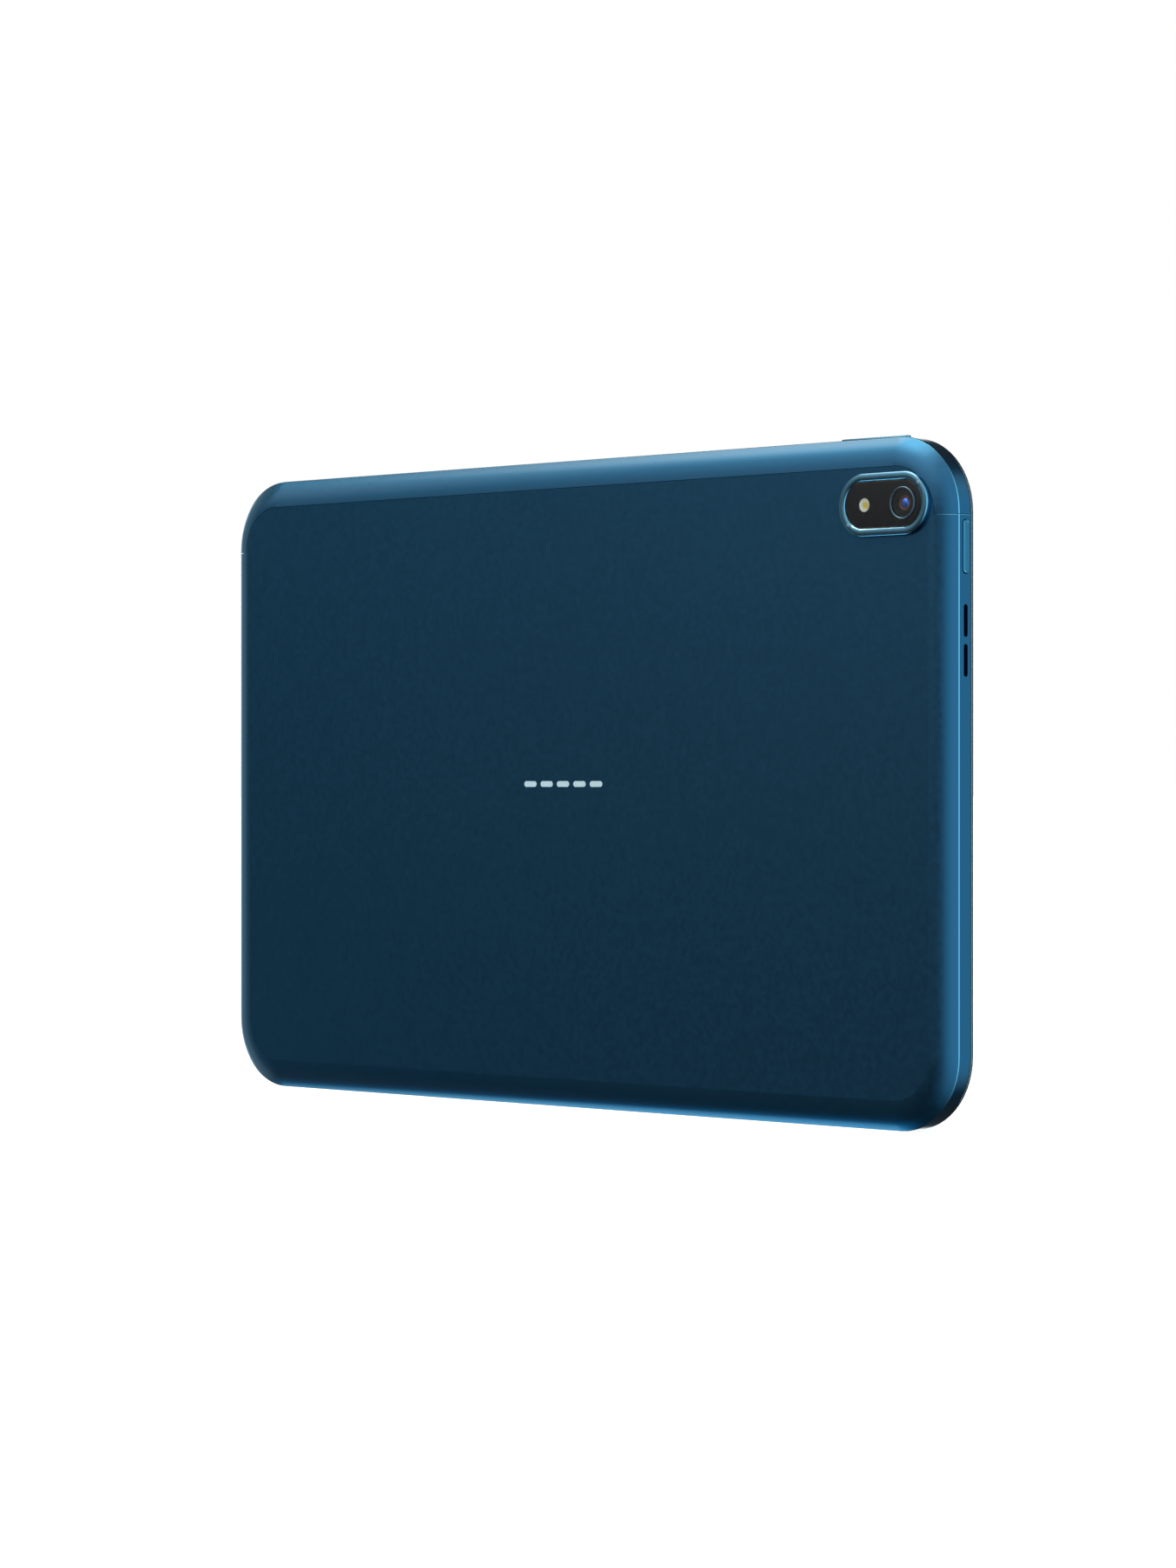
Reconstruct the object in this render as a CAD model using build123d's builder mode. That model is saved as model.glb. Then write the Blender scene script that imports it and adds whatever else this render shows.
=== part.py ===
"""Ten-inch tablet computer, modelled as the separate pieces it is assembled from.

The tablet stands upright on its long lower edge, with the screen facing -Y and the rear face +Y.
X runs along the width, Y through the thickness and Z up the height. The origin is at the middle
of the thickness, in the middle of the lower edge. All sizes are in millimetres.

Two measures place every piece. "Depth" is the distance in from the flat rear face towards the
screen, and "inset" is the distance in from the nearest edge of the body.
"""

import os

from build123d import *

# ---------------------------------------------------------------- body outline
WIDTH = 247.6
HEIGHT = 157.5
THICKNESS = 7.8
CORNER_R = 17.5

# ---------------------------------------------------------------- rear shell
BACK_WALL = 0.8
SIDE_WALL = 1.3
ROLL_INSET = 7.0  # how far in from the edge the rear face starts to roll over
ROLL_DEPTH = 2.7  # depth at which the rolled face meets the flat side band
BAND_WIDTH = 3.95  # flat side band, from the rolled face to the front rim
EDGE_CUT = 0.18  # bright cut along both edges of the side band
RIM_STEP_INSET = 0.55
RIM_STEP_DEPTH = 0.4

# ---------------------------------------------------------------- antenna cap
CAP_SIDE_DROP = 0.65  # how far the cap reaches below the start of the corner
CAP_TOP_INSET = 6.7
CAP_SIDE_INSET = 5.2
CAP_SEAM_R = 12.0
CAP_FOOT_R = 1.2
SEAM_GAP = 0.12
LEDGE_REACH = 1.6  # inner ledge of the cover that the cap is bonded to
LEDGE_T = 0.35

# ---------------------------------------------------------------- front stack
GLASS_T = 0.7
GLASS_INSET = 0.12
GLASS_EDGE_R = 0.35
INK_T = 0.05
TAPE_T = 0.1
CELL_T = 0.98
BACKLIGHT_T = 1.05
BORDER_SIDE = 10.55
BORDER_TOP = 10.8
CELL_BORDER = 1.2
BACKLIGHT_STEP = 0.5  # how far the backlight stops short of the edge of the cell
LAYER_GAP = 0.05
PLATE_T = 0.4
BAY_WALL = 0.8
BAY_CLEARANCE = 0.35
BAY_R = 0.8
SHELF_T = 0.65
LIP_INSET = 0.1
LIP_GAP = 0.02
TAPE_INSET = 0.8
TAPE_MARGIN = 1.2

# ---------------------------------------------------------------- rear wall inside
ROLL_WALL_INSET = 5.6  # where the inner face of the rear wall starts to slope
ROLL_WALL_DEPTH = 2.6

# ---------------------------------------------------------------- keys in the side band
PORT_DEPTH = 4.85  # centre line of the keys and the speaker slots
RUN_CLEARANCE = 0.1  # around each moving piece in its opening
FIT_CLEARANCE = 0.05  # around each fixed or closely guided piece
BUTTON_WIDTH = 1.9
BUTTON_FLANGE_T = 0.4
BUTTON_FLANGE_REACH = 0.9
BUTTON_FLANGE_WIDTH = 2.6
BUTTON_SEAT_GAP = 0.05
ROCKER_SEAT_GAP = 0.32
POWER_FROM_CAP = 7.3  # from the foot of the antenna cap to the middle of the key
POWER_LENGTH = 12.2
POWER_PROUD = 0.3
ROCKER_FROM_CORNER = 9.2
ROCKER_LENGTH = 20.4
ROCKER_PROUD = 0.45
ROCKER_SWITCH_SPAN = 12.0
FULCRUM_R = 0.6
FULCRUM_CLEARANCE = 0.03
CRADLE_LENGTH = 2.0
PUSHER_R = 0.5
PUSHER_LENGTH = 0.35
STEM_R = 0.55
STEM_LENGTH = 0.8
STEM_SUNK = 0.35  # part of the stem that sits inside its switch
SWITCH_LENGTH = 3.6
SWITCH_WIDTH = 2.6
SWITCH_T = 1.0
SWITCH_FLOOR = 0.15
KEY_PLATE_T = 0.3
KEY_PLATE_WIDTH = 2.8
KEY_PLATE_OVERHANG = 1.6
KEY_POST_T = 1.3
KEY_FLEX_WIDTH = 4.0

# ---------------------------------------------------------------- speakers
SLOT_LENGTH = 7.4
SLOT_WIDTH = 1.36
SLOT_PITCH = 8.95
SPEAKER_FROM_POWER = 21.1
SPEAKER_HEIGHT = 25.0
SPEAKER_WIDTH = 15.5
SPEAKER_INSET = 5.5
SPEAKER_BACK = 1.1
SPEAKER_WALL = 0.4
NOZZLE_HEIGHT = 19.0
NOZZLE_WIDTH = 2.7
TOWER_INSET = 3.0
TOWER_WIDTH = 5.0
TOWER_BACK = 2.2
MESH_T = 0.12
MESH_WIDTH = 2.3
DRIVER_LENGTH = 19.0
DRIVER_WIDTH = 9.5
DRIVER_T = 1.5
CONE_T = 0.35
CONE_EDGE = 0.8

# ---------------------------------------------------------------- rear camera island
ISLAND_LENGTH = 26.6
ISLAND_WIDTH = 14.4
ISLAND_SIDE_MARGIN = 1.2  # from the seam of the antenna cap
ISLAND_TOP_MARGIN = 1.4
ISLAND_PROUD = 1.1
ISLAND_BEVEL = 0.4
NECK_STEP = 0.9  # how much smaller the neck is than the island, all round
WINDOW_LENGTH = 23.0
WINDOW_WIDTH = 10.8
WINDOW_T = 0.5
WINDOW_RECESS = 0.12
WINDOW_LEDGE = 0.9
PRINT_T = 0.04
LENS_OFFSET = 5.85  # lens and flash, from the middle of the island
LENS_TRIM_R = 3.72
LENS_TRIM_WIDTH = 0.42
LENS_TRIM_T = 0.2
LENS_TRIM_PROUD = 0.06
LENS_SIGHT_R = 2.9
FLASH_LENS_R = 1.55
FLASH_FLANGE_R = 2.05
FLASH_FLANGE_T = 0.3
FLASH_LED_SIZE = 2.0
FLASH_LED_T = 0.6
FLASH_BOARD_SIZE = 4.4
FLASH_BOARD_T = 0.4
CAMERA_SIZE = 8.5
CAMERA_BACK = 0.9
CAMERA_FRONT = 4.1
COLLAR_R = 3.6
COLLAR_TOP = -0.2
BARREL_R = 2.7
BARREL_TOP = -0.13
BARREL_LENGTH = 3.4
BARREL_WALL = 0.5
APERTURE_R = 1.15
APERTURE_DEPTH = 0.55
ELEMENT_T = 0.5
SENSOR_SIZE = 5.4
SENSOR_T = 0.3
CAMERA_BOARD_T = 0.3

# ---------------------------------------------------------------- front camera
FRONT_CAMERA_INSET = 5.2
FRONT_CAMERA_SIZE = 5.0
FRONT_CAMERA_T = 2.9
FRONT_LENS_R = 1.1
FRONT_LENS_T = 0.4
FRONT_APERTURE_R = 1.5
SENSOR_FROM_CAMERA = 9.0
SENSOR_WINDOW_R = 0.8
LIGHT_SENSOR_SIZE = 2.0
LIGHT_SENSOR_T = 0.6

# ---------------------------------------------------------------- boards and battery
BOARD_T = 0.8
SCREW_MARGIN = 2.4  # from a screw to the edge of its board
MAIN_SCREW_HEIGHTS = (26.0, 132.0)
USB_SCREW_HEIGHTS = (61.0, 89.0)
MAIN_BOARD_WIDTH = 38.0
MAIN_BOARD_MARGIN = 10.5
STANDOFF_T = 0.2
STANDOFF_R = 1.6
CONNECTOR_T = 0.5
CONNECTOR_HEIGHT = 2.4
FLEX_T = 0.12
SHIELD_T = 0.15
SHIELD_DEPTH = 1.4
SHIELD_WIDTH = 31.0
SHIELD_HEIGHT = 18.0
SHIELD_R = 0.7
SHIELD_OFFSETS = (22.0, -5.5)
CHIP_T = 0.9
PROCESSOR_SIZE = (13.0, 13.0)
PROCESSOR_SHIFT = (-6.0, 22.0)  # from the middle of the main board
SUPPORT_CHIPS = {  # size of each, by its shift from the middle of the main board
    (8.0, 22.0): (11.0, 13.0),
    (-5.0, -6.0): (11.5, 13.0),
    (9.0, -5.0): (7.0, 7.0),
}
BATTERY_INSET_LEFT = 69.8
BATTERY_INSET_RIGHT = 30.8
BATTERY_MARGIN = 20.0
BATTERY_BACK = 0.95
BATTERY_T = 3.3
BATTERY_EDGE_R = 0.9
BATTERY_CELL_GAP = 1.2
BATTERY_TAPE_WIDTH = 14.0
PACK_BOARD_HEIGHT = 3.8
PACK_BOARD_T = 1.0
SPREADER_T = 0.08
USB_BOARD_WIDTH = 23.0
USB_BOARD_INSET = 3.2
USB_BOARD_LOW = 31.0
USB_BOARD_HIGH = 92.0

# ---------------------------------------------------------------- sockets on the right side
USB_DEPTH = 4.5
USB_FROM_BOTTOM = 78.75
USB_WIDTH = 8.94
USB_HEIGHT = 3.1
USB_LENGTH = 7.3
USB_WALL = 0.28
USB_MOUTH_INSET = 0.4
TONGUE_WIDTH = 6.69
TONGUE_HEIGHT = 0.7
TONGUE_LENGTH = 4.45
TONGUE_BASE = 1.2
MIC_FROM_USB = 9.4
MIC_HOLE_R = 0.45
MIC_SIZE = 3.0
MIC_T = 1.0
DOOR_DEPTH = 4.6
DOOR_LENGTH = 21.0
DOOR_WIDTH = 2.0
DOOR_T = 1.1
DOOR_NOTCH_LENGTH = 4.0
DOOR_NOTCH_T = 0.45
TRAY_FROM_BOTTOM = 48.0
TRAY_WIDTH = 13.0
TRAY_REACH = 18.6
TRAY_T = 0.85
TRAY_FLOOR_T = 0.15
TRAY_GAP = 0.06
CARD_WIDTH = 11.0
CARD_LENGTH = 15.0
CARD_WINDOW_MARGIN = 1.2
READER_RAIL = 0.7
READER_BASE_T = 0.45
CONTACT_COUNT = 8
CONTACT_PITCH = 1.1
CONTACT_WIDTH = 0.5
CONTACT_LENGTH = 2.4
CONTACT_GAP = 0.04

# ---------------------------------------------------------------- badge
BADGE_LENGTH = 27.0
BADGE_HEIGHT = 1.4
BADGE_T = 0.12
BADGE_DASHES = 5
BADGE_GAP = 1.4

# ---------------------------------------------------------------- fasteners and clips
SCREW_R = 0.7
SCREW_HEAD_R = 1.25
SCREW_HEAD_T = 0.4
SCREW_LENGTH = 1.3
SCREW_RECESS_R = 0.45
SCREW_RECESS_T = 0.25
HOOK_LENGTH = 6.0
HOOK_T = 0.8
HOOK_NOSE = 0.3
HOOK_DEPTH = 5.2
HOOK_NOSE_T = 0.6

# ---------------------------------------------------------------- derived places
BAND_FRONT = ROLL_DEPTH + BAND_WIDTH
ROLL_R = (ROLL_INSET**2 + ROLL_DEPTH**2) / (2 * ROLL_DEPTH)
WALL_TOP = BAND_FRONT - RIM_STEP_DEPTH
GLASS_BACK = THICKNESS - GLASS_T
INK_BACK = GLASS_BACK - INK_T
SHELF_FRONT = INK_BACK - TAPE_T
SHELF_BACK = SHELF_FRONT - SHELF_T
CELL_BACK = INK_BACK - CELL_T
BACKLIGHT_BACK = CELL_BACK - BACKLIGHT_T
PLATE_FRONT = BACKLIGHT_BACK - LAYER_GAP
PLATE_BACK = PLATE_FRONT - PLATE_T
ACTIVE_WIDTH = WIDTH - 2 * BORDER_SIDE
ACTIVE_HEIGHT = HEIGHT - 2 * BORDER_TOP
CELL_WIDTH = ACTIVE_WIDTH + 2 * CELL_BORDER
CELL_HEIGHT = ACTIVE_HEIGHT + 2 * CELL_BORDER
BAY_WIDTH = CELL_WIDTH + 2 * BAY_CLEARANCE
BAY_HEIGHT = CELL_HEIGHT + 2 * BAY_CLEARANCE
MIDDLE = HEIGHT / 2
CAP_FOOT_Z = HEIGHT - CORNER_R - CAP_SIDE_DROP
POWER_Z = CAP_FOOT_Z - POWER_FROM_CAP
ROCKER_X = -WIDTH / 2 + CORNER_R + ROCKER_FROM_CORNER
SPEAKER_Z = POWER_Z - SPEAKER_FROM_POWER
ISLAND_X = -WIDTH / 2 + CAP_SIDE_INSET + ISLAND_SIDE_MARGIN + ISLAND_LENGTH / 2
ISLAND_Z = HEIGHT - CAP_TOP_INSET - ISLAND_TOP_MARGIN - ISLAND_WIDTH / 2
LENS_X = ISLAND_X - LENS_OFFSET
FLASH_X = ISLAND_X + LENS_OFFSET
WINDOW_FRONT = WINDOW_RECESS - ISLAND_PROUD
WINDOW_BACK = WINDOW_FRONT + WINDOW_T
KEY_SEAT = SIDE_WALL + BUTTON_SEAT_GAP
SWITCH_INSET = KEY_SEAT + BUTTON_FLANGE_T + PUSHER_LENGTH + STEM_LENGTH - STEM_SUNK
KEY_FLEX_INSET = SWITCH_INSET + SWITCH_T
KEY_PLATE_INSET = KEY_FLEX_INSET + FLEX_T
ROCKER_SEAT = SIDE_WALL + ROCKER_SEAT_GAP
PIVOT_INSET = ROCKER_SEAT + BUTTON_FLANGE_T + FULCRUM_R / 2
STEM_INSET = ROCKER_SEAT + BUTTON_FLANGE_T + PUSHER_LENGTH
ROCKER_SWITCH_INSET = STEM_INSET + STEM_LENGTH - STEM_SUNK
ROCKER_FLEX_INSET = ROCKER_SWITCH_INSET + SWITCH_T
ROCKER_PLATE_INSET = ROCKER_FLEX_INSET + FLEX_T
MAIN_BOARD_X = FLASH_X + FLASH_BOARD_SIZE / 2 + FIT_CLEARANCE + MAIN_BOARD_WIDTH / 2
MAIN_BOARD_FRONT = PLATE_BACK - STANDOFF_T
MAIN_BOARD_BACK = MAIN_BOARD_FRONT - BOARD_T
FLEX_BACK = MAIN_BOARD_BACK - CONNECTOR_T - FLEX_T
USB_BOARD_FRONT = USB_DEPTH - USB_HEIGHT / 2
USB_BOARD_BACK = USB_BOARD_FRONT - BOARD_T
USB_BOARD_X = WIDTH / 2 - USB_BOARD_INSET - USB_BOARD_WIDTH / 2
TRAY_FRONT = PLATE_BACK - TRAY_GAP
TRAY_BACK = TRAY_FRONT - TRAY_T
BATTERY_FRONT = BATTERY_BACK + BATTERY_T
BATTERY_LEFT = -WIDTH / 2 + BATTERY_INSET_LEFT
BATTERY_RIGHT = WIDTH / 2 - BATTERY_INSET_RIGHT
BATTERY_HEIGHT = HEIGHT - 2 * BATTERY_MARGIN
CELL_PACK_WIDTH = (BATTERY_RIGHT - BATTERY_LEFT - BATTERY_CELL_GAP) / 2
DISPLAY_FLEX_WIDTH = MAIN_BOARD_WIDTH / 2
FLEX_SLOT_Z = MIDDLE - CELL_HEIGHT / 2 + BACKLIGHT_STEP / 2
STRIP_X = MAIN_BOARD_X - MAIN_BOARD_WIDTH / 2 + KEY_FLEX_WIDTH / 2 + FIT_CLEARANCE
POCKET_X = WIDTH / 2 - TRAY_REACH + (TRAY_WIDTH - CARD_WIDTH) / 2 + CARD_LENGTH / 2
MAIN_SCREW_X = MAIN_BOARD_WIDTH / 2 - SCREW_MARGIN
MAIN_SCREWS = [(MAIN_BOARD_X + side * MAIN_SCREW_X, z) for side in (-1, 1) for z in MAIN_SCREW_HEIGHTS]
USB_SCREWS = [(USB_BOARD_X - USB_BOARD_WIDTH / 2 + SCREW_MARGIN, z) for z in USB_SCREW_HEIGHTS]
SIDES = {"left": -1, "right": 1}
TOP_HOOKS = (-68.0, 0.0, 68.0, 100.0)
BOTTOM_HOOKS = (-90.0, -45.0, 0.0, 45.0, 90.0)
LEFT_HOOKS = (25.0, 55.0, 85.0)
RIGHT_HOOKS = (22.0, 65.0, POWER_Z)

os.makedirs("parts", exist_ok=True)


# ---------------------------------------------------------------- drawing planes and simple shapes
def at_depth(depth):
    """Plane parallel to the rear face, at a depth from it, that extrudes towards the screen."""
    return Plane.XZ.offset(depth - THICKNESS / 2)


def side_plane(side, z, inset=0, depth=PORT_DEPTH):
    """Plane parallel to a side, local x up the height, that extrudes into the body."""
    origin = (side * (WIDTH / 2 - inset), THICKNESS / 2 - depth, z)
    return Plane(origin, x_dir=(0, 0, 1), z_dir=(-side, 0, 0))


def top_plane(x, inset=0, depth=PORT_DEPTH):
    """Plane parallel to the upper edge, local x along the width, that extrudes into the body."""
    return Plane((x, THICKNESS / 2 - depth, HEIGHT - inset), x_dir=(1, 0, 0), z_dir=(0, 0, -1))


def body_slab(depth, thickness, inset=0, mode=Mode.ADD):
    """Slab with the outline of the body, brought in by an inset."""
    with BuildSketch(at_depth(depth)) as outline:
        with Locations((0, MIDDLE)):
            RectangleRounded(WIDTH - 2 * inset, HEIGHT - 2 * inset, CORNER_R - inset)
    extrude(outline.sketch, amount=thickness, mode=mode)


def slab(center, size, depth, thickness, radius=0, mode=Mode.ADD):
    """Flat plate parallel to the rear face."""
    with BuildSketch(at_depth(depth)) as outline:
        with Locations(center):
            if radius:
                RectangleRounded(*size, radius)
            else:
                Rectangle(*size)
    extrude(outline.sketch, amount=thickness, mode=mode)


def disc(center, radius, depth, thickness, mode=Mode.ADD):
    """Round disc parallel to the rear face."""
    with BuildSketch(at_depth(depth)) as outline:
        with Locations(center):
            Circle(radius)
    extrude(outline.sketch, amount=thickness, mode=mode)


def flat_stadium(center, length, width, depth, thickness, mode=Mode.ADD):
    """Plate with round ends, parallel to the rear face."""
    with BuildSketch(at_depth(depth)) as outline:
        with Locations(center):
            SlotOverall(length, width)
    extrude(outline.sketch, amount=thickness, mode=mode)


def stadium(plane, length, width, amount, mode=Mode.ADD):
    """Bar with round ends, standing on a plane."""
    with BuildSketch(plane) as outline:
        SlotOverall(length, width)
    extrude(outline.sketch, amount=amount, mode=mode)


def bar(plane, length, width, amount, mode=Mode.ADD):
    """Square-ended bar, standing on a plane."""
    with BuildSketch(plane) as outline:
        Rectangle(length, width)
    extrude(outline.sketch, amount=amount, mode=mode)


def peg(plane, radius, amount, mode=Mode.ADD):
    """Round peg, standing on a plane."""
    with BuildSketch(plane) as outline:
        Circle(radius)
    extrude(outline.sketch, amount=amount, mode=mode)


# ---------------------------------------------------------------- features shared by several pieces
def cavity(wall_step=0, mode=Mode.SUBTRACT):
    """Room inside the rear shell, with a sloped border under the rolled face."""
    back = BACK_WALL + wall_step
    knee = ROLL_WALL_DEPTH + wall_step
    with BuildSketch(at_depth(back)) as floor:
        with Locations((0, MIDDLE)):
            inset = ROLL_WALL_INSET
            RectangleRounded(WIDTH - 2 * inset, HEIGHT - 2 * inset, CORNER_R - inset)
    with BuildSketch(at_depth(knee)) as mouth:
        with Locations((0, MIDDLE)):
            inset = SIDE_WALL
            RectangleRounded(WIDTH - 2 * inset, HEIGHT - 2 * inset, CORNER_R - inset)
    loft([floor.sketch.face(), mouth.sketch.face()], ruled=True, mode=mode)
    body_slab(knee, THICKNESS - knee, SIDE_WALL, mode)


def cap_region(grow=0, mode=Mode.ADD):
    """Block over everything that belongs to the antenna cap, seen from the rear."""
    half_width = WIDTH / 2 - CAP_SIDE_INSET - grow
    inner_top = HEIGHT - CAP_TOP_INSET - grow
    foot = CAP_FOOT_Z - grow
    with BuildSketch(at_depth(0)) as region:
        with Locations((0, HEIGHT)):
            Rectangle(2 * WIDTH, 2 * (HEIGHT - foot))
        with Locations((0, inner_top / 2)):
            RectangleRounded(2 * half_width, inner_top, CAP_SEAM_R - grow, mode=Mode.SUBTRACT)
        feet = region.vertices().filter_by(
            lambda v: abs(abs(v.X) - half_width) < FIT_CLEARANCE and abs(v.Z - foot) < FIT_CLEARANCE
        )
        fillet(feet, CAP_FOOT_R)
    extrude(region.sketch, amount=THICKNESS, mode=mode)


def rim_step(mode=Mode.SUBTRACT):
    """Step inside the front rim, where the mid frame rests."""
    body_slab(WALL_TOP, THICKNESS, RIM_STEP_INSET, mode)


def band_openings(mode=Mode.SUBTRACT):
    """Openings through the side band for the keys, the speakers, the port and the tray."""
    through = SIDE_WALL + CORNER_R / 4
    gap = 2 * RUN_CLEARANCE
    stadium(side_plane(-1, POWER_Z), POWER_LENGTH + gap, BUTTON_WIDTH + gap, through, mode)
    stadium(top_plane(ROCKER_X), ROCKER_LENGTH + gap, BUTTON_WIDTH + gap, through, mode)
    for side in SIDES.values():
        for offset in (-SLOT_PITCH / 2, SLOT_PITCH / 2):
            stadium(side_plane(side, SPEAKER_Z + offset), SLOT_LENGTH, SLOT_WIDTH, through, mode)
    gap = 2 * FIT_CLEARANCE
    usb = side_plane(1, USB_FROM_BOTTOM, depth=USB_DEPTH)
    stadium(usb, USB_WIDTH + gap, USB_HEIGHT + gap, through, mode)
    gap = 2 * RUN_CLEARANCE
    door = side_plane(1, TRAY_FROM_BOTTOM, depth=DOOR_DEPTH)
    stadium(door, DOOR_LENGTH + gap, DOOR_WIDTH + gap, through, mode)
    peg(side_plane(1, USB_FROM_BOTTOM + MIC_FROM_USB), MIC_HOLE_R, through, mode)


def hook_planes(inset):
    """Planes of all clips round the body, at an inset."""
    nose_depth = HOOK_DEPTH + HOOK_NOSE_T / 2
    planes = [top_plane(x, inset, nose_depth) for x in TOP_HOOKS]
    planes += [
        Plane((x, THICKNESS / 2 - nose_depth, inset), x_dir=(1, 0, 0), z_dir=(0, 0, 1))
        for x in BOTTOM_HOOKS
    ]
    planes += [side_plane(-1, z, inset, nose_depth) for z in LEFT_HOOKS]
    planes += [side_plane(1, z, inset, nose_depth) for z in RIGHT_HOOKS]
    return planes


def hook_pockets(mode=Mode.SUBTRACT):
    """Pockets inside the side walls that the clips of the mid frame snap into."""
    gap = 2 * FIT_CLEARANCE
    for plane in hook_planes(SIDE_WALL - HOOK_NOSE - FIT_CLEARANCE):
        bar(plane, HOOK_LENGTH + gap, HOOK_NOSE_T + gap, HOOK_NOSE + gap, mode)


def shell_blank():
    """Outside shape of the rear shell, with its rolled rear border."""
    body_slab(0, ROLL_R + ROLL_DEPTH, ROLL_INSET - ROLL_R)
    rear_edges = edges().filter_by(lambda e: e.center().Y > THICKNESS / 2 - FIT_CLEARANCE)
    fillet(rear_edges, ROLL_R)
    body_slab(0, BAND_FRONT, 0, Mode.INTERSECT)
    roll = THICKNESS / 2 - ROLL_DEPTH
    rim = THICKNESS / 2 - BAND_FRONT
    cut = edges().filter_by(
        lambda e: abs(e.center().Y - roll) < FIT_CLEARANCE or abs(e.center().Y - rim) < FIT_CLEARANCE
    )
    chamfer(cut, EDGE_CUT)


# ---------------------------------------------------------------- rear shell
with BuildPart() as cap_space:
    cap_region()
    cavity()

with BuildPart() as ledge_space:
    cap_region(LEDGE_REACH)
    cap_region(-LEDGE_REACH, Mode.SUBTRACT)

with BuildPart() as room:
    cavity(mode=Mode.ADD)
    add(ledge_space.part, mode=Mode.SUBTRACT)

with BuildPart() as cut_space:
    cap_region(SEAM_GAP)
    cavity()

with BuildPart() as rear_cover:
    shell_blank()
    cavity(LEDGE_T)
    add(room.part, mode=Mode.SUBTRACT)
    add(cut_space.part, mode=Mode.SUBTRACT)
    rim_step()
    band_openings()
    hook_pockets()
    neck = 2 * (FIT_CLEARANCE - NECK_STEP)
    island = (ISLAND_X, ISLAND_Z)
    flat_stadium(island, ISLAND_LENGTH + neck, ISLAND_WIDTH + neck, 0, ROLL_DEPTH, Mode.SUBTRACT)
    pitch = (BADGE_LENGTH + BADGE_GAP) / BADGE_DASHES
    for index in range(BADGE_DASHES):
        x = (index - (BADGE_DASHES - 1) / 2) * pitch
        flat_stadium((x, MIDDLE), pitch - BADGE_GAP, BADGE_HEIGHT, 0, BADGE_T, Mode.SUBTRACT)

rear_cover.part.label = "rear_cover"
export_step(rear_cover.part, "parts/rear_cover.step")

with BuildPart() as antenna_cap:
    shell_blank()
    add(cap_space.part, mode=Mode.INTERSECT)
    rim_step()
    band_openings()
    hook_pockets()

antenna_cap.part.label = "antenna_cap"
export_step(antenna_cap.part, "parts/antenna_cap.step")

# ---------------------------------------------------------------- mid frame and plate
with BuildPart() as mid_frame:
    body_slab(SHELF_BACK, SHELF_FRONT - SHELF_BACK, RIM_STEP_INSET + FIT_CLEARANCE)
    lip_back = max(BAND_FRONT, SHELF_BACK) + LIP_GAP
    body_slab(lip_back, INK_BACK - LIP_GAP - lip_back, LIP_INSET)
    wall_width = BAY_WIDTH + 2 * BAY_WALL
    wall_height = BAY_HEIGHT + 2 * BAY_WALL
    slab((0, MIDDLE), (wall_width, wall_height), PLATE_FRONT, SHELF_BACK - PLATE_FRONT)
    slab((0, MIDDLE), (BAY_WIDTH, BAY_HEIGHT), PLATE_FRONT, THICKNESS, BAY_R, Mode.SUBTRACT)
    body_slab(SHELF_FRONT, THICKNESS, TAPE_INSET - FIT_CLEARANCE, Mode.SUBTRACT)
    camera = (0, HEIGHT - FRONT_CAMERA_INSET)
    hole = FRONT_CAMERA_SIZE + 2 * FIT_CLEARANCE
    slab(camera, (hole, hole), PLATE_FRONT, THICKNESS, mode=Mode.SUBTRACT)
    light = (SENSOR_FROM_CAMERA, HEIGHT - FRONT_CAMERA_INSET)
    disc(light, SENSOR_WINDOW_R, SHELF_BACK, THICKNESS, Mode.SUBTRACT)
    post_depth = SHELF_BACK - KEY_PLATE_WIDTH / 2
    power_post = side_plane(-1, POWER_Z, KEY_PLATE_INSET + KEY_PLATE_T, post_depth)
    bar(power_post, POWER_LENGTH + 2 * KEY_PLATE_OVERHANG, KEY_PLATE_WIDTH, KEY_POST_T)
    rocker_post = top_plane(ROCKER_X, ROCKER_PLATE_INSET + KEY_PLATE_T, post_depth)
    bar(rocker_post, ROCKER_LENGTH + 2 * KEY_PLATE_OVERHANG, KEY_PLATE_WIDTH, KEY_POST_T)
    tab_reach = SIDE_WALL + FIT_CLEARANCE
    for plane in hook_planes(tab_reach):
        bar(plane, HOOK_LENGTH, HOOK_NOSE_T, HOOK_T)
        stalk = SHELF_BACK - HOOK_DEPTH - HOOK_NOSE_T / 2
        origin = plane.origin - Vector(0, stalk / 2, 0)
        bar(Plane(origin, x_dir=plane.x_dir, z_dir=plane.z_dir), HOOK_LENGTH, stalk, HOOK_T)
        bar(plane, HOOK_LENGTH, HOOK_NOSE_T, -HOOK_NOSE)

mid_frame.part.label = "mid_frame"
export_step(mid_frame.part, "parts/mid_frame.step")

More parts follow.
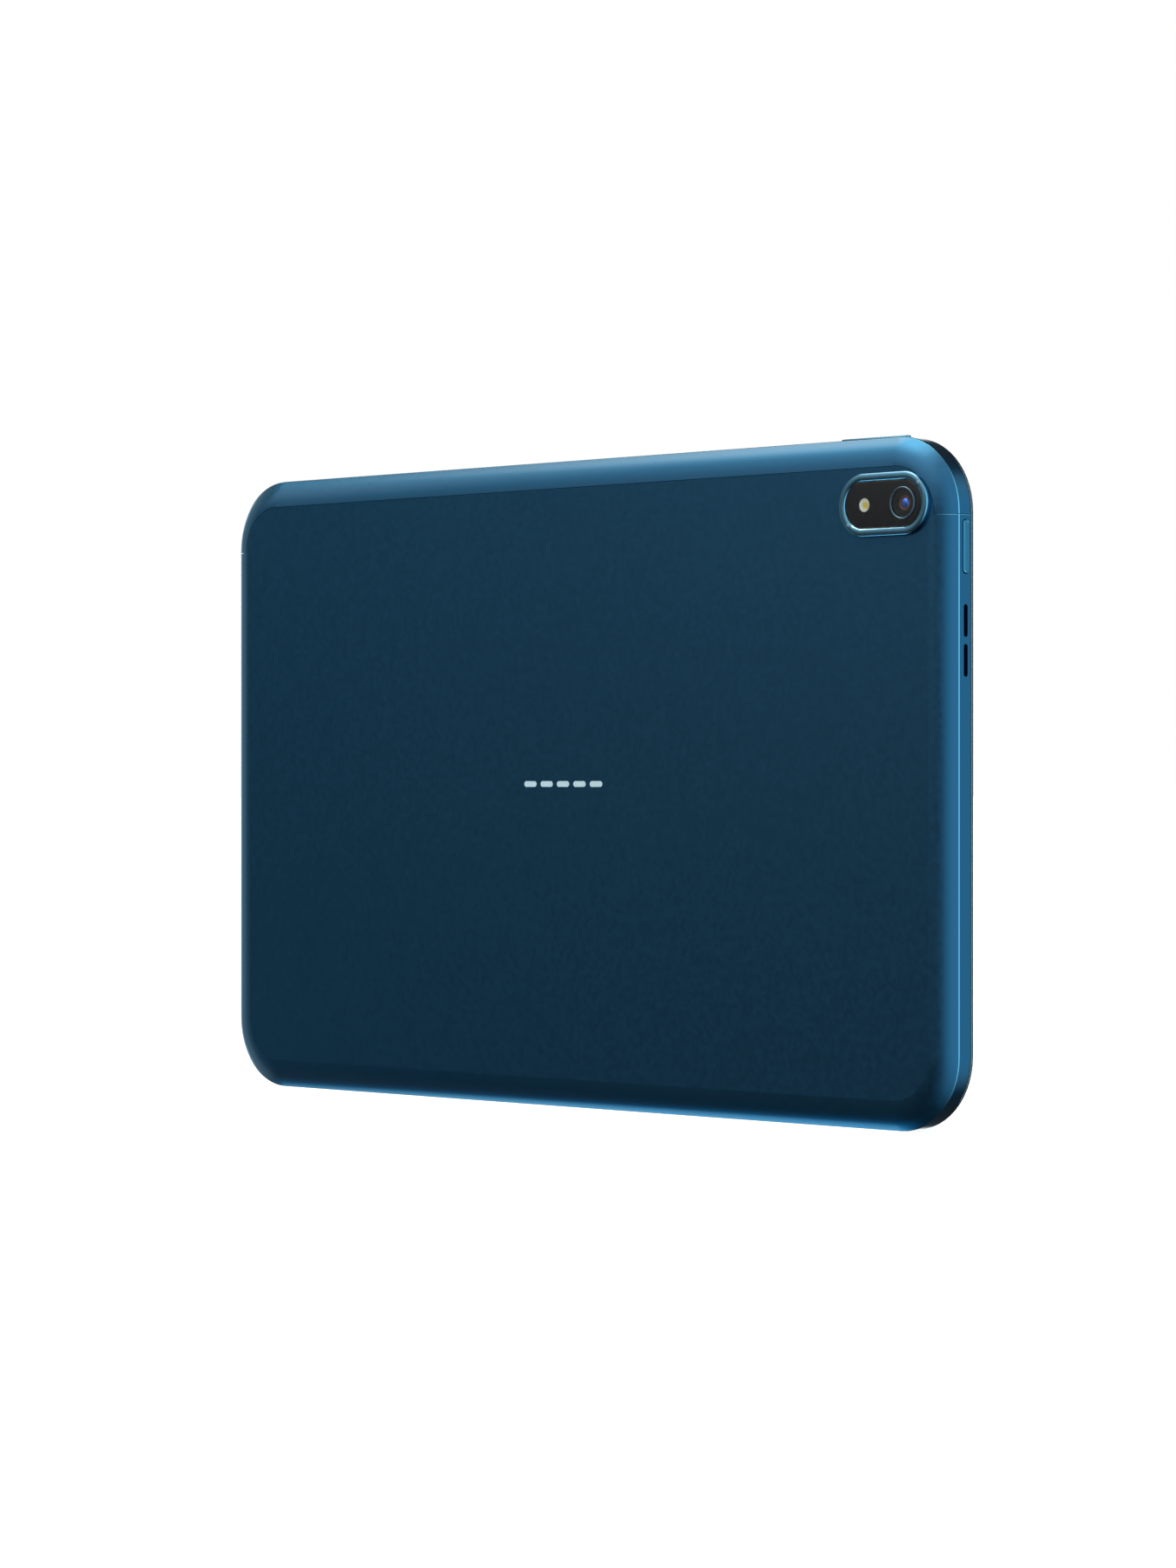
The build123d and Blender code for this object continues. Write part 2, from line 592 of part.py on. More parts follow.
with BuildPart() as mid_plate:
    wall_size = (BAY_WIDTH + 2 * BAY_WALL, BAY_HEIGHT + 2 * BAY_WALL)
    slab((0, MIDDLE), wall_size, PLATE_BACK, PLATE_T)
    for place in MAIN_SCREWS:
        disc(place, STANDOFF_R, MAIN_BOARD_FRONT, STANDOFF_T)
        disc(place, SCREW_R, MAIN_BOARD_FRONT, THICKNESS, Mode.SUBTRACT)
    for place in USB_SCREWS:
        disc(place, STANDOFF_R, USB_BOARD_FRONT, PLATE_BACK - USB_BOARD_FRONT)
        disc(place, SCREW_R, USB_BOARD_FRONT, THICKNESS, Mode.SUBTRACT)
    slot_size = (DISPLAY_FLEX_WIDTH + 4 * RUN_CLEARANCE, BACKLIGHT_STEP + 2 * RUN_CLEARANCE)
    slab((MAIN_BOARD_X, FLEX_SLOT_Z), slot_size, PLATE_BACK, PLATE_T, mode=Mode.SUBTRACT)

mid_plate.part.label = "mid_plate"
export_step(mid_plate.part, "parts/mid_plate.step")

# ---------------------------------------------------------------- screen
with BuildPart() as front_glass:
    body_slab(GLASS_BACK, GLASS_T, GLASS_INSET)
    fillet(edges().filter_by(lambda e: e.center().Y < FIT_CLEARANCE - THICKNESS / 2), GLASS_EDGE_R)

front_glass.part.label = "front_glass"
export_step(front_glass.part, "parts/front_glass.step")

with BuildPart() as screen_border:
    body_slab(INK_BACK, INK_T, GLASS_INSET + FIT_CLEARANCE)
    active = (ACTIVE_WIDTH, ACTIVE_HEIGHT)
    slab((0, MIDDLE), active, INK_BACK, INK_T, mode=Mode.SUBTRACT)
    disc((0, HEIGHT - FRONT_CAMERA_INSET), FRONT_APERTURE_R, INK_BACK, INK_T, Mode.SUBTRACT)
    light = (SENSOR_FROM_CAMERA, HEIGHT - FRONT_CAMERA_INSET)
    disc(light, SENSOR_WINDOW_R, INK_BACK, INK_T, Mode.SUBTRACT)

screen_border.part.label = "screen_border"
export_step(screen_border.part, "parts/screen_border.step")

with BuildPart() as bezel_tape:
    body_slab(SHELF_FRONT, TAPE_T, TAPE_INSET)
    hole = (BAY_WIDTH + TAPE_MARGIN, BAY_HEIGHT + TAPE_MARGIN)
    slab((0, MIDDLE), hole, SHELF_FRONT, TAPE_T, mode=Mode.SUBTRACT)
    window = (FRONT_CAMERA_SIZE + TAPE_MARGIN, FRONT_CAMERA_SIZE + TAPE_MARGIN)
    slab((0, HEIGHT - FRONT_CAMERA_INSET), window, SHELF_FRONT, TAPE_T, mode=Mode.SUBTRACT)
    light = (SENSOR_FROM_CAMERA, HEIGHT - FRONT_CAMERA_INSET)
    disc(light, SENSOR_WINDOW_R, SHELF_FRONT, TAPE_T, Mode.SUBTRACT)

bezel_tape.part.label = "bezel_tape"
export_step(bezel_tape.part, "parts/bezel_tape.step")

with BuildPart() as screen_cell:
    slab((0, MIDDLE), (CELL_WIDTH, CELL_HEIGHT), CELL_BACK, CELL_T)

screen_cell.part.label = "screen_cell"
export_step(screen_cell.part, "parts/screen_cell.step")

with BuildPart() as backlight:
    size = (CELL_WIDTH - 2 * BACKLIGHT_STEP, CELL_HEIGHT - 2 * BACKLIGHT_STEP)
    slab((0, MIDDLE), size, BACKLIGHT_BACK, BACKLIGHT_T)

backlight.part.label = "backlight"
export_step(backlight.part, "parts/backlight.step")

with BuildPart() as display_flex:
    low = FLEX_SLOT_Z - FLEX_T / 2
    flex_front = PLATE_BACK - FIT_CLEARANCE
    drop = CELL_BACK - flex_front + FLEX_T
    slab((MAIN_BOARD_X, FLEX_SLOT_Z), (DISPLAY_FLEX_WIDTH, FLEX_T), flex_front - FLEX_T, drop)
    high = MAIN_BOARD_MARGIN + CONNECTOR_HEIGHT
    middle = (low + high) / 2
    slab((MAIN_BOARD_X, middle), (DISPLAY_FLEX_WIDTH, high - low), flex_front - FLEX_T, FLEX_T)

display_flex.part.label = "display_flex"
export_step(display_flex.part, "parts/display_flex.step")

# ---------------------------------------------------------------- front camera and light sensor
with BuildPart() as front_camera:
    camera = (0, HEIGHT - FRONT_CAMERA_INSET)
    size = (FRONT_CAMERA_SIZE, FRONT_CAMERA_SIZE)
    camera_back = SHELF_FRONT - FRONT_CAMERA_T
    slab(camera, size, camera_back, FRONT_CAMERA_T)
    disc(camera, FRONT_LENS_R, SHELF_FRONT - FRONT_LENS_T, THICKNESS, Mode.SUBTRACT)

front_camera.part.label = "front_camera"
export_step(front_camera.part, "parts/front_camera.step")

with BuildPart() as front_camera_lens:
    disc((0, HEIGHT - FRONT_CAMERA_INSET), FRONT_LENS_R, SHELF_FRONT - FRONT_LENS_T, FRONT_LENS_T)

front_camera_lens.part.label = "front_camera_lens"
export_step(front_camera_lens.part, "parts/front_camera_lens.step")

with BuildPart() as light_sensor:
    light = (SENSOR_FROM_CAMERA, HEIGHT - FRONT_CAMERA_INSET)
    size = (LIGHT_SENSOR_SIZE, LIGHT_SENSOR_SIZE)
    slab(light, size, SHELF_BACK - LIGHT_SENSOR_T, LIGHT_SENSOR_T)

light_sensor.part.label = "light_sensor"
export_step(light_sensor.part, "parts/light_sensor.step")

# ---------------------------------------------------------------- power key
with BuildPart() as power_button:
    face = side_plane(-1, POWER_Z, -POWER_PROUD)
    stadium(face, POWER_LENGTH, BUTTON_WIDTH, POWER_PROUD + KEY_SEAT)
    fillet(edges().group_by(Axis.X)[0], POWER_PROUD / 2)
    flange = side_plane(-1, POWER_Z, KEY_SEAT)
    stadium(flange, POWER_LENGTH + 2 * BUTTON_FLANGE_REACH, BUTTON_FLANGE_WIDTH, BUTTON_FLANGE_T)
    peg(side_plane(-1, POWER_Z, KEY_SEAT + BUTTON_FLANGE_T), PUSHER_R, PUSHER_LENGTH)

power_button.part.label = "power_button"
export_step(power_button.part, "parts/power_button.step")

with BuildPart() as power_plunger:
    tip = side_plane(-1, POWER_Z, SWITCH_INSET + STEM_SUNK - STEM_LENGTH)
    peg(tip, STEM_R, STEM_LENGTH)

power_plunger.part.label = "power_plunger"
export_step(power_plunger.part, "parts/power_plunger.step")

with BuildPart() as power_flex:
    bar(side_plane(-1, POWER_Z, KEY_FLEX_INSET), POWER_LENGTH, SWITCH_WIDTH, FLEX_T)
    strip_left = -WIDTH / 2 + KEY_FLEX_INSET
    strip_right = MAIN_BOARD_X - MAIN_BOARD_WIDTH / 2 + CONNECTOR_HEIGHT
    strip_middle = ((strip_left + strip_right) / 2, POWER_Z - POWER_LENGTH / 2 + KEY_FLEX_WIDTH / 2)
    slab(strip_middle, (strip_right - strip_left, KEY_FLEX_WIDTH), FLEX_BACK, FLEX_T)
    drop = PORT_DEPTH - SWITCH_WIDTH / 2 - FLEX_BACK + FLEX_T
    edge = (strip_left + FLEX_T / 2, strip_middle[1])
    slab(edge, (FLEX_T, KEY_FLEX_WIDTH), FLEX_BACK, drop)

power_flex.part.label = "power_flex"
export_step(power_flex.part, "parts/power_flex.step")

with BuildPart() as power_bracket:
    plane = side_plane(-1, POWER_Z, KEY_PLATE_INSET)
    bar(plane, POWER_LENGTH + 2 * KEY_PLATE_OVERHANG, KEY_PLATE_WIDTH, KEY_PLATE_T)
    low = POWER_Z - POWER_LENGTH / 2 + KEY_FLEX_WIDTH / 2
    notch = side_plane(-1, low, KEY_PLATE_INSET, FLEX_BACK)
    bar(notch, KEY_FLEX_WIDTH + 2 * RUN_CLEARANCE, 2 * CONNECTOR_T, KEY_PLATE_T, Mode.SUBTRACT)

power_bracket.part.label = "power_bracket"
export_step(power_bracket.part, "parts/power_bracket.step")

# ---------------------------------------------------------------- volume rocker
def across_pivot(half_width):
    """Plane across the rocker's pivot, extruding through the thickness."""
    origin = (ROCKER_X, THICKNESS / 2 - PORT_DEPTH + half_width, HEIGHT - PIVOT_INSET)
    return Plane(origin, x_dir=(1, 0, 0), z_dir=(0, -1, 0))


with BuildPart() as volume_rocker:
    face = top_plane(ROCKER_X, -ROCKER_PROUD)
    stadium(face, ROCKER_LENGTH, BUTTON_WIDTH, ROCKER_PROUD + ROCKER_SEAT)
    fillet(edges().group_by(Axis.Z)[-1], ROCKER_PROUD / 2)
    flange = top_plane(ROCKER_X, ROCKER_SEAT)
    stadium(flange, ROCKER_LENGTH + 2 * BUTTON_FLANGE_REACH, BUTTON_FLANGE_WIDTH, BUTTON_FLANGE_T)
    peg(across_pivot(BUTTON_WIDTH / 2), FULCRUM_R, BUTTON_WIDTH)
    for end in (-ROCKER_SWITCH_SPAN / 2, ROCKER_SWITCH_SPAN / 2):
        foot = top_plane(ROCKER_X + end, ROCKER_SEAT + BUTTON_FLANGE_T)
        peg(foot, PUSHER_R, PUSHER_LENGTH)

volume_rocker.part.label = "volume_rocker"
export_step(volume_rocker.part, "parts/volume_rocker.step")

ROCKER_ENDS = (ROCKER_X - ROCKER_SWITCH_SPAN / 2, ROCKER_X + ROCKER_SWITCH_SPAN / 2)

with BuildPart() as volume_plungers:
    for key_x in ROCKER_ENDS:
        peg(top_plane(key_x, STEM_INSET), STEM_R, STEM_LENGTH)

volume_plungers.part.label = "volume_plungers"
export_step(volume_plungers.part, "parts/volume_plungers.step")

SWITCH_SEATS = [top_plane(x, ROCKER_SWITCH_INSET) for x in ROCKER_ENDS]
SWITCH_SEATS.append(side_plane(-1, POWER_Z, SWITCH_INSET))

with BuildPart() as key_switches:
    for seat in SWITCH_SEATS:
        bar(seat, SWITCH_LENGTH, SWITCH_WIDTH, SWITCH_T)
        peg(seat, STEM_R + FIT_CLEARANCE, SWITCH_T - SWITCH_FLOOR, Mode.SUBTRACT)

key_switches.part.label = "key_switches"
export_step(key_switches.part, "parts/key_switches.step")

with BuildPart() as volume_flex:
    bar(top_plane(ROCKER_X, ROCKER_FLEX_INSET), ROCKER_LENGTH, SWITCH_WIDTH, FLEX_T)
    opening = CRADLE_LENGTH + 2 * RUN_CLEARANCE
    bar(top_plane(ROCKER_X, ROCKER_FLEX_INSET), opening, BUTTON_WIDTH + RUN_CLEARANCE, FLEX_T, Mode.SUBTRACT)
    strip_top = HEIGHT - ROCKER_FLEX_INSET
    strip_low = HEIGHT - MAIN_BOARD_MARGIN - CONNECTOR_HEIGHT
    slab(
        (STRIP_X, (strip_top + strip_low) / 2),
        (KEY_FLEX_WIDTH, strip_top - strip_low),
        FLEX_BACK,
        FLEX_T,
    )
    drop = PORT_DEPTH - SWITCH_WIDTH / 2 - FLEX_BACK + FLEX_T
    slab((STRIP_X, strip_top - FLEX_T / 2), (KEY_FLEX_WIDTH, FLEX_T), FLEX_BACK, drop)

volume_flex.part.label = "volume_flex"
export_step(volume_flex.part, "parts/volume_flex.step")

with BuildPart() as volume_bracket:
    plane = top_plane(ROCKER_X, ROCKER_PLATE_INSET)
    bar(plane, ROCKER_LENGTH + 2 * KEY_PLATE_OVERHANG, KEY_PLATE_WIDTH, KEY_PLATE_T)
    cradle_top = PIVOT_INSET + FULCRUM_R / 3
    cradle = top_plane(ROCKER_X, cradle_top)
    bar(cradle, CRADLE_LENGTH, BUTTON_WIDTH, ROCKER_PLATE_INSET - cradle_top)
    peg(across_pivot(BUTTON_WIDTH), FULCRUM_R + FULCRUM_CLEARANCE, 2 * BUTTON_WIDTH, Mode.SUBTRACT)
    notch = top_plane(STRIP_X, ROCKER_PLATE_INSET, FLEX_BACK)
    bar(notch, KEY_FLEX_WIDTH + 2 * RUN_CLEARANCE, 2 * CONNECTOR_T, KEY_PLATE_T, Mode.SUBTRACT)

volume_bracket.part.label = "volume_bracket"
export_step(volume_bracket.part, "parts/volume_bracket.step")

# ---------------------------------------------------------------- speakers
for name, side in SIDES.items():
    box_x = side * (WIDTH / 2 - SPEAKER_INSET - SPEAKER_WIDTH / 2)
    tower_x = side * (WIDTH / 2 - TOWER_INSET - TOWER_WIDTH / 2)
    box_front = PLATE_BACK - 2 * FIT_CLEARANCE
    nozzle_front = PORT_DEPTH + NOZZLE_WIDTH / 2
    nozzle_inset = SIDE_WALL + MESH_T
    wall = SPEAKER_WALL
    with BuildPart() as speaker_box:
        slab((box_x, SPEAKER_Z), (SPEAKER_WIDTH, SPEAKER_HEIGHT), SPEAKER_BACK, box_front - SPEAKER_BACK)
        slab(
            (tower_x, SPEAKER_Z),
            (TOWER_WIDTH, SPEAKER_HEIGHT - 2 * wall),
            TOWER_BACK,
            nozzle_front - TOWER_BACK,
        )
        nozzle = side_plane(side, SPEAKER_Z, nozzle_inset)
        bar(nozzle, NOZZLE_HEIGHT, NOZZLE_WIDTH, TOWER_INSET - nozzle_inset)
        slab(
            (box_x, SPEAKER_Z),
            (SPEAKER_WIDTH - 2 * wall, SPEAKER_HEIGHT - 2 * wall),
            SPEAKER_BACK + wall,
            box_front - SPEAKER_BACK - 2 * wall,
            mode=Mode.SUBTRACT,
        )
        slab(
            (tower_x, SPEAKER_Z),
            (TOWER_WIDTH - 2 * wall, SPEAKER_HEIGHT - 4 * wall),
            TOWER_BACK + wall,
            nozzle_front - TOWER_BACK - 2 * wall,
            mode=Mode.SUBTRACT,
        )
        inner = (NOZZLE_HEIGHT - 2 * wall, NOZZLE_WIDTH - 2 * wall)
        bar(nozzle, *inner, TOWER_INSET + wall - nozzle_inset, Mode.SUBTRACT)
    speaker_box.part.label = f"speaker_box_{name}"
    export_step(speaker_box.part, f"parts/speaker_box_{name}.step")

DRIVER_FRONT = PLATE_BACK - 2 * FIT_CLEARANCE - SPEAKER_WALL
DRIVER_X = WIDTH / 2 - SPEAKER_INSET - SPEAKER_WIDTH / 2 - SPEAKER_WALL

with BuildPart() as speaker_drivers:
    for side in SIDES.values():
        size = (DRIVER_WIDTH, DRIVER_LENGTH)
        slab((side * DRIVER_X, SPEAKER_Z), size, DRIVER_FRONT - DRIVER_T, DRIVER_T, CONE_EDGE)

speaker_drivers.part.label = "speaker_drivers"
export_step(speaker_drivers.part, "parts/speaker_drivers.step")

with BuildPart() as speaker_cones:
    for side in SIDES.values():
        size = (DRIVER_WIDTH - CONE_EDGE, DRIVER_LENGTH - CONE_EDGE)
        slab((side * DRIVER_X, SPEAKER_Z), size, DRIVER_FRONT - DRIVER_T - CONE_T, CONE_T, CONE_EDGE)
    fillet(edges().group_by(Axis.Y)[-1], CONE_T / 2)

speaker_cones.part.label = "speaker_cones"
export_step(speaker_cones.part, "parts/speaker_cones.step")

with BuildPart() as speaker_meshes:
    for side in SIDES.values():
        stadium(side_plane(side, SPEAKER_Z, SIDE_WALL), NOZZLE_HEIGHT, MESH_WIDTH, MESH_T)

speaker_meshes.part.label = "speaker_meshes"
export_step(speaker_meshes.part, "parts/speaker_meshes.step")

# ---------------------------------------------------------------- rear camera island
ISLAND = (ISLAND_X, ISLAND_Z)
LENS = (LENS_X, ISLAND_Z)
FLASH = (FLASH_X, ISLAND_Z)

with BuildPart() as camera_ring:
    flat_stadium(ISLAND, ISLAND_LENGTH, ISLAND_WIDTH, -ISLAND_PROUD, ISLAND_PROUD)
    fillet(edges().group_by(Axis.Y)[-1], ISLAND_BEVEL)
    neck = 2 * NECK_STEP
    flat_stadium(ISLAND, ISLAND_LENGTH - neck, ISLAND_WIDTH - neck, 0, BACK_WALL)
    gap = 2 * FIT_CLEARANCE
    seat = WINDOW_BACK + PRINT_T
    sunk = seat + ISLAND_PROUD
    flat_stadium(ISLAND, WINDOW_LENGTH + gap, WINDOW_WIDTH + gap, -ISLAND_PROUD, sunk, Mode.SUBTRACT)
    ledge = 2 * WINDOW_LEDGE
    flat_stadium(ISLAND, WINDOW_LENGTH - ledge, WINDOW_WIDTH - ledge, seat, THICKNESS, Mode.SUBTRACT)

camera_ring.part.label = "camera_ring"
export_step(camera_ring.part, "parts/camera_ring.step")

with BuildPart() as camera_window:
    flat_stadium(ISLAND, WINDOW_LENGTH, WINDOW_WIDTH, WINDOW_FRONT, WINDOW_T)
    disc(FLASH, FLASH_LENS_R + FIT_CLEARANCE, WINDOW_FRONT, WINDOW_T, Mode.SUBTRACT)
    trim_seat = LENS_TRIM_T - LENS_TRIM_PROUD
    disc(LENS, LENS_TRIM_R, WINDOW_FRONT, trim_seat, Mode.SUBTRACT)
    disc(LENS, LENS_TRIM_R - LENS_TRIM_WIDTH, WINDOW_FRONT, trim_seat)

camera_window.part.label = "camera_window"
export_step(camera_window.part, "parts/camera_window.step")

with BuildPart() as window_print:
    flat_stadium(ISLAND, WINDOW_LENGTH, WINDOW_WIDTH, WINDOW_BACK, PRINT_T)
    disc(LENS, LENS_SIGHT_R, WINDOW_BACK, PRINT_T, Mode.SUBTRACT)
    disc(FLASH, FLASH_LENS_R + FIT_CLEARANCE, WINDOW_BACK, PRINT_T, Mode.SUBTRACT)

window_print.part.label = "window_print"
export_step(window_print.part, "parts/window_print.step")

with BuildPart() as lens_trim:
    disc(LENS, LENS_TRIM_R, WINDOW_FRONT - LENS_TRIM_PROUD, LENS_TRIM_T)
    inner = LENS_TRIM_R - LENS_TRIM_WIDTH
    disc(LENS, inner, WINDOW_FRONT - LENS_TRIM_PROUD, LENS_TRIM_T, Mode.SUBTRACT)
    fillet(edges().group_by(Axis.Y)[-1], LENS_TRIM_PROUD / 2)

lens_trim.part.label = "lens_trim"
export_step(lens_trim.part, "parts/lens_trim.step")

with BuildPart() as camera_body:
    slab(LENS, (CAMERA_SIZE, CAMERA_SIZE), CAMERA_BACK, CAMERA_FRONT - CAMERA_BACK)
    disc(LENS, COLLAR_R, COLLAR_TOP, CAMERA_BACK - COLLAR_TOP)
    disc(LENS, BARREL_R + FIT_CLEARANCE, COLLAR_TOP, THICKNESS, Mode.SUBTRACT)

camera_body.part.label = "camera_body"
export_step(camera_body.part, "parts/camera_body.step")

with BuildPart() as lens_barrel:
    disc(LENS, BARREL_R, BARREL_TOP, BARREL_LENGTH)
    disc(LENS, BARREL_R - BARREL_WALL, BARREL_TOP, APERTURE_DEPTH, Mode.SUBTRACT)
    disc(LENS, APERTURE_R, BARREL_TOP, THICKNESS, Mode.SUBTRACT)
    bottom = BARREL_TOP + BARREL_LENGTH - APERTURE_DEPTH
    disc(LENS, BARREL_R - BARREL_WALL, bottom, THICKNESS, Mode.SUBTRACT)

lens_barrel.part.label = "lens_barrel"
export_step(lens_barrel.part, "parts/lens_barrel.step")

with BuildPart() as lens_elements:
    disc(LENS, APERTURE_R, BARREL_TOP + APERTURE_DEPTH, ELEMENT_T)
    fillet(edges().group_by(Axis.Y)[-1], ELEMENT_T / 2)
    disc(LENS, BARREL_R - BARREL_WALL, BARREL_TOP + BARREL_LENGTH - APERTURE_DEPTH, ELEMENT_T)

lens_elements.part.label = "lens_elements"
export_step(lens_elements.part, "parts/lens_elements.step")

with BuildPart() as image_sensor:
    slab(LENS, (SENSOR_SIZE, SENSOR_SIZE), CAMERA_FRONT, SENSOR_T / 2)
    slab(LENS, (SENSOR_SIZE / 2, SENSOR_SIZE / 2), CAMERA_FRONT - SENSOR_T / 2, SENSOR_T / 2)

image_sensor.part.label = "image_sensor"
export_step(image_sensor.part, "parts/image_sensor.step")

with BuildPart() as flash_lens:
    disc(FLASH, FLASH_LENS_R, WINDOW_FRONT, WINDOW_T + PRINT_T)
    disc(FLASH, FLASH_FLANGE_R, WINDOW_BACK + PRINT_T, FLASH_FLANGE_T)

flash_lens.part.label = "flash_lens"
export_step(flash_lens.part, "parts/flash_lens.step")

FLASH_LED_BACK = WINDOW_BACK + PRINT_T + FLASH_FLANGE_T + FIT_CLEARANCE

with BuildPart() as flash_led:
    slab(FLASH, (FLASH_LED_SIZE, FLASH_LED_SIZE), FLASH_LED_BACK, FLASH_LED_T)

flash_led.part.label = "flash_led"
export_step(flash_led.part, "parts/flash_led.step")

with BuildPart() as camera_flex:
    run_right = MAIN_BOARD_X - MAIN_BOARD_WIDTH / 2 + CONNECTOR_HEIGHT
    slab(LENS, (CAMERA_SIZE, CAMERA_SIZE), CAMERA_FRONT + SENSOR_T / 2, CAMERA_BOARD_T)
    run_left = LENS_X + CAMERA_SIZE / 2
    run = ((run_left + run_right) / 2, ISLAND_Z)
    slab(run, (run_right - run_left, KEY_FLEX_WIDTH), PLATE_BACK - FIT_CLEARANCE - FLEX_T, FLEX_T)
    low = FLASH_LED_BACK + FLASH_LED_T
    slab(FLASH, (FLASH_BOARD_SIZE, FLASH_BOARD_SIZE), low, FLASH_BOARD_T)
    post = FLASH_X + FLASH_BOARD_SIZE / 2 - FLASH_BOARD_T / 2
    post_length = PLATE_BACK - FIT_CLEARANCE - low
    slab((post, ISLAND_Z), (FLASH_BOARD_T, KEY_FLEX_WIDTH), low, post_length)

camera_flex.part.label = "camera_flex"
export_step(camera_flex.part, "parts/camera_flex.step")

# ---------------------------------------------------------------- main board
MAIN_LOW = MAIN_BOARD_MARGIN
MAIN_HIGH = HEIGHT - MAIN_BOARD_MARGIN
with BuildPart() as main_board:
    board_size = (MAIN_BOARD_WIDTH, MAIN_HIGH - MAIN_LOW)
    slab((MAIN_BOARD_X, MIDDLE), board_size, MAIN_BOARD_BACK, BOARD_T, 1)
    for place in MAIN_SCREWS:
        disc(place, SCREW_R, MAIN_BOARD_BACK, BOARD_T, Mode.SUBTRACT)

main_board.part.label = "main_board"
export_step(main_board.part, "parts/main_board.step")

EDGE_CONNECTOR_X = MAIN_BOARD_X - MAIN_BOARD_WIDTH / 2 + CONNECTOR_HEIGHT / 2
FAR_CONNECTOR_X = MAIN_BOARD_X + MAIN_BOARD_WIDTH / 2 - CONNECTOR_HEIGHT / 2
POWER_FLEX_Z = POWER_Z - POWER_LENGTH / 2 + KEY_FLEX_WIDTH / 2
VOLUME_FLEX_Z = MAIN_HIGH - CONNECTOR_HEIGHT / 2
SUB_FLEX_Z = (MAIN_LOW + BATTERY_MARGIN) / 2
PACK_FLEX_Z = HEIGHT - BATTERY_MARGIN + PACK_BOARD_HEIGHT / 2 + RUN_CLEARANCE

with BuildPart() as board_connectors:
    tall = (CONNECTOR_HEIGHT, KEY_FLEX_WIDTH)
    slab((EDGE_CONNECTOR_X, POWER_FLEX_Z), tall, MAIN_BOARD_BACK - CONNECTOR_T, CONNECTOR_T)
    wide = (KEY_FLEX_WIDTH, CONNECTOR_HEIGHT)
    slab((STRIP_X, VOLUME_FLEX_Z), wide, MAIN_BOARD_BACK - CONNECTOR_T, CONNECTOR_T)
    slab((FAR_CONNECTOR_X, SUB_FLEX_Z), tall, MAIN_BOARD_BACK - CONNECTOR_T, CONNECTOR_T)
    pack_size = (CONNECTOR_HEIGHT, PACK_BOARD_HEIGHT)
    slab((FAR_CONNECTOR_X, PACK_FLEX_Z), pack_size, MAIN_BOARD_BACK - CONNECTOR_T, CONNECTOR_T)

board_connectors.part.label = "board_connectors"
export_step(board_connectors.part, "parts/board_connectors.step")

PROCESSOR = (MAIN_BOARD_X + PROCESSOR_SHIFT[0], MIDDLE + PROCESSOR_SHIFT[1])

with BuildPart() as processor:
    slab(PROCESSOR, PROCESSOR_SIZE, MAIN_BOARD_BACK - CHIP_T, CHIP_T)

processor.part.label = "processor"
export_step(processor.part, "parts/processor.step")

with BuildPart() as support_chips:
    for (along, up), size in SUPPORT_CHIPS.items():
        slab((MAIN_BOARD_X + along, MIDDLE + up), size, MAIN_BOARD_BACK - CHIP_T, CHIP_T)

support_chips.part.label = "support_chips"
export_step(support_chips.part, "parts/support_chips.step")

with BuildPart() as shields:
    shield_back = MAIN_BOARD_BACK - SHIELD_DEPTH
    inside = (SHIELD_WIDTH - 2 * SHIELD_T, SHIELD_HEIGHT - 2 * SHIELD_T)
    for offset in SHIELD_OFFSETS:
        center = (MAIN_BOARD_X + 1, MIDDLE + offset)
        slab(center, (SHIELD_WIDTH, SHIELD_HEIGHT), shield_back, SHIELD_DEPTH, SHIELD_R)
        slab(center, inside, shield_back + SHIELD_T, SHIELD_DEPTH, SHIELD_R, Mode.SUBTRACT)

shields.part.label = "shields"
export_step(shields.part, "parts/shields.step")

with BuildPart() as heat_spreader:
    center = (MAIN_BOARD_X, MIDDLE)
    slab(center, (MAIN_BOARD_WIDTH, MAIN_HIGH - MAIN_LOW - BATTERY_MARGIN), BACK_WALL, SPREADER_T)

heat_spreader.part.label = "heat_spreader"
export_step(heat_spreader.part, "parts/heat_spreader.step")

# ---------------------------------------------------------------- battery
CELL_CENTERS = [BATTERY_LEFT + CELL_PACK_WIDTH / 2, BATTERY_RIGHT - CELL_PACK_WIDTH / 2]

with BuildPart() as battery_cells:
    for cell_x in CELL_CENTERS:
        size = (CELL_PACK_WIDTH, BATTERY_HEIGHT)
        slab((cell_x, MIDDLE), size, BATTERY_BACK, BATTERY_T, BATTERY_EDGE_R)
    fillet(edges().group_by(Axis.Y)[-1], BATTERY_EDGE_R / 2)

battery_cells.part.label = "battery_cells"
export_step(battery_cells.part, "parts/battery_cells.step")

with BuildPart() as battery_tape:
    strip = (BATTERY_TAPE_WIDTH, BATTERY_HEIGHT - BATTERY_TAPE_WIDTH)
    for cell_x in CELL_CENTERS:
        for offset in (-CELL_PACK_WIDTH / 4, CELL_PACK_WIDTH / 4):
            slab((cell_x + offset, MIDDLE), strip, BATTERY_FRONT, PLATE_BACK - BATTERY_FRONT)

battery_tape.part.label = "battery_tape"
export_step(battery_tape.part, "parts/battery_tape.step")

with BuildPart() as battery_board:
    width = BATTERY_RIGHT - BATTERY_LEFT
    center = ((BATTERY_LEFT + BATTERY_RIGHT) / 2, PACK_FLEX_Z)
    slab(center, (width, PACK_BOARD_HEIGHT), FLEX_BACK - PACK_BOARD_T, PACK_BOARD_T)

battery_board.part.label = "battery_board"
export_step(battery_board.part, "parts/battery_board.step")

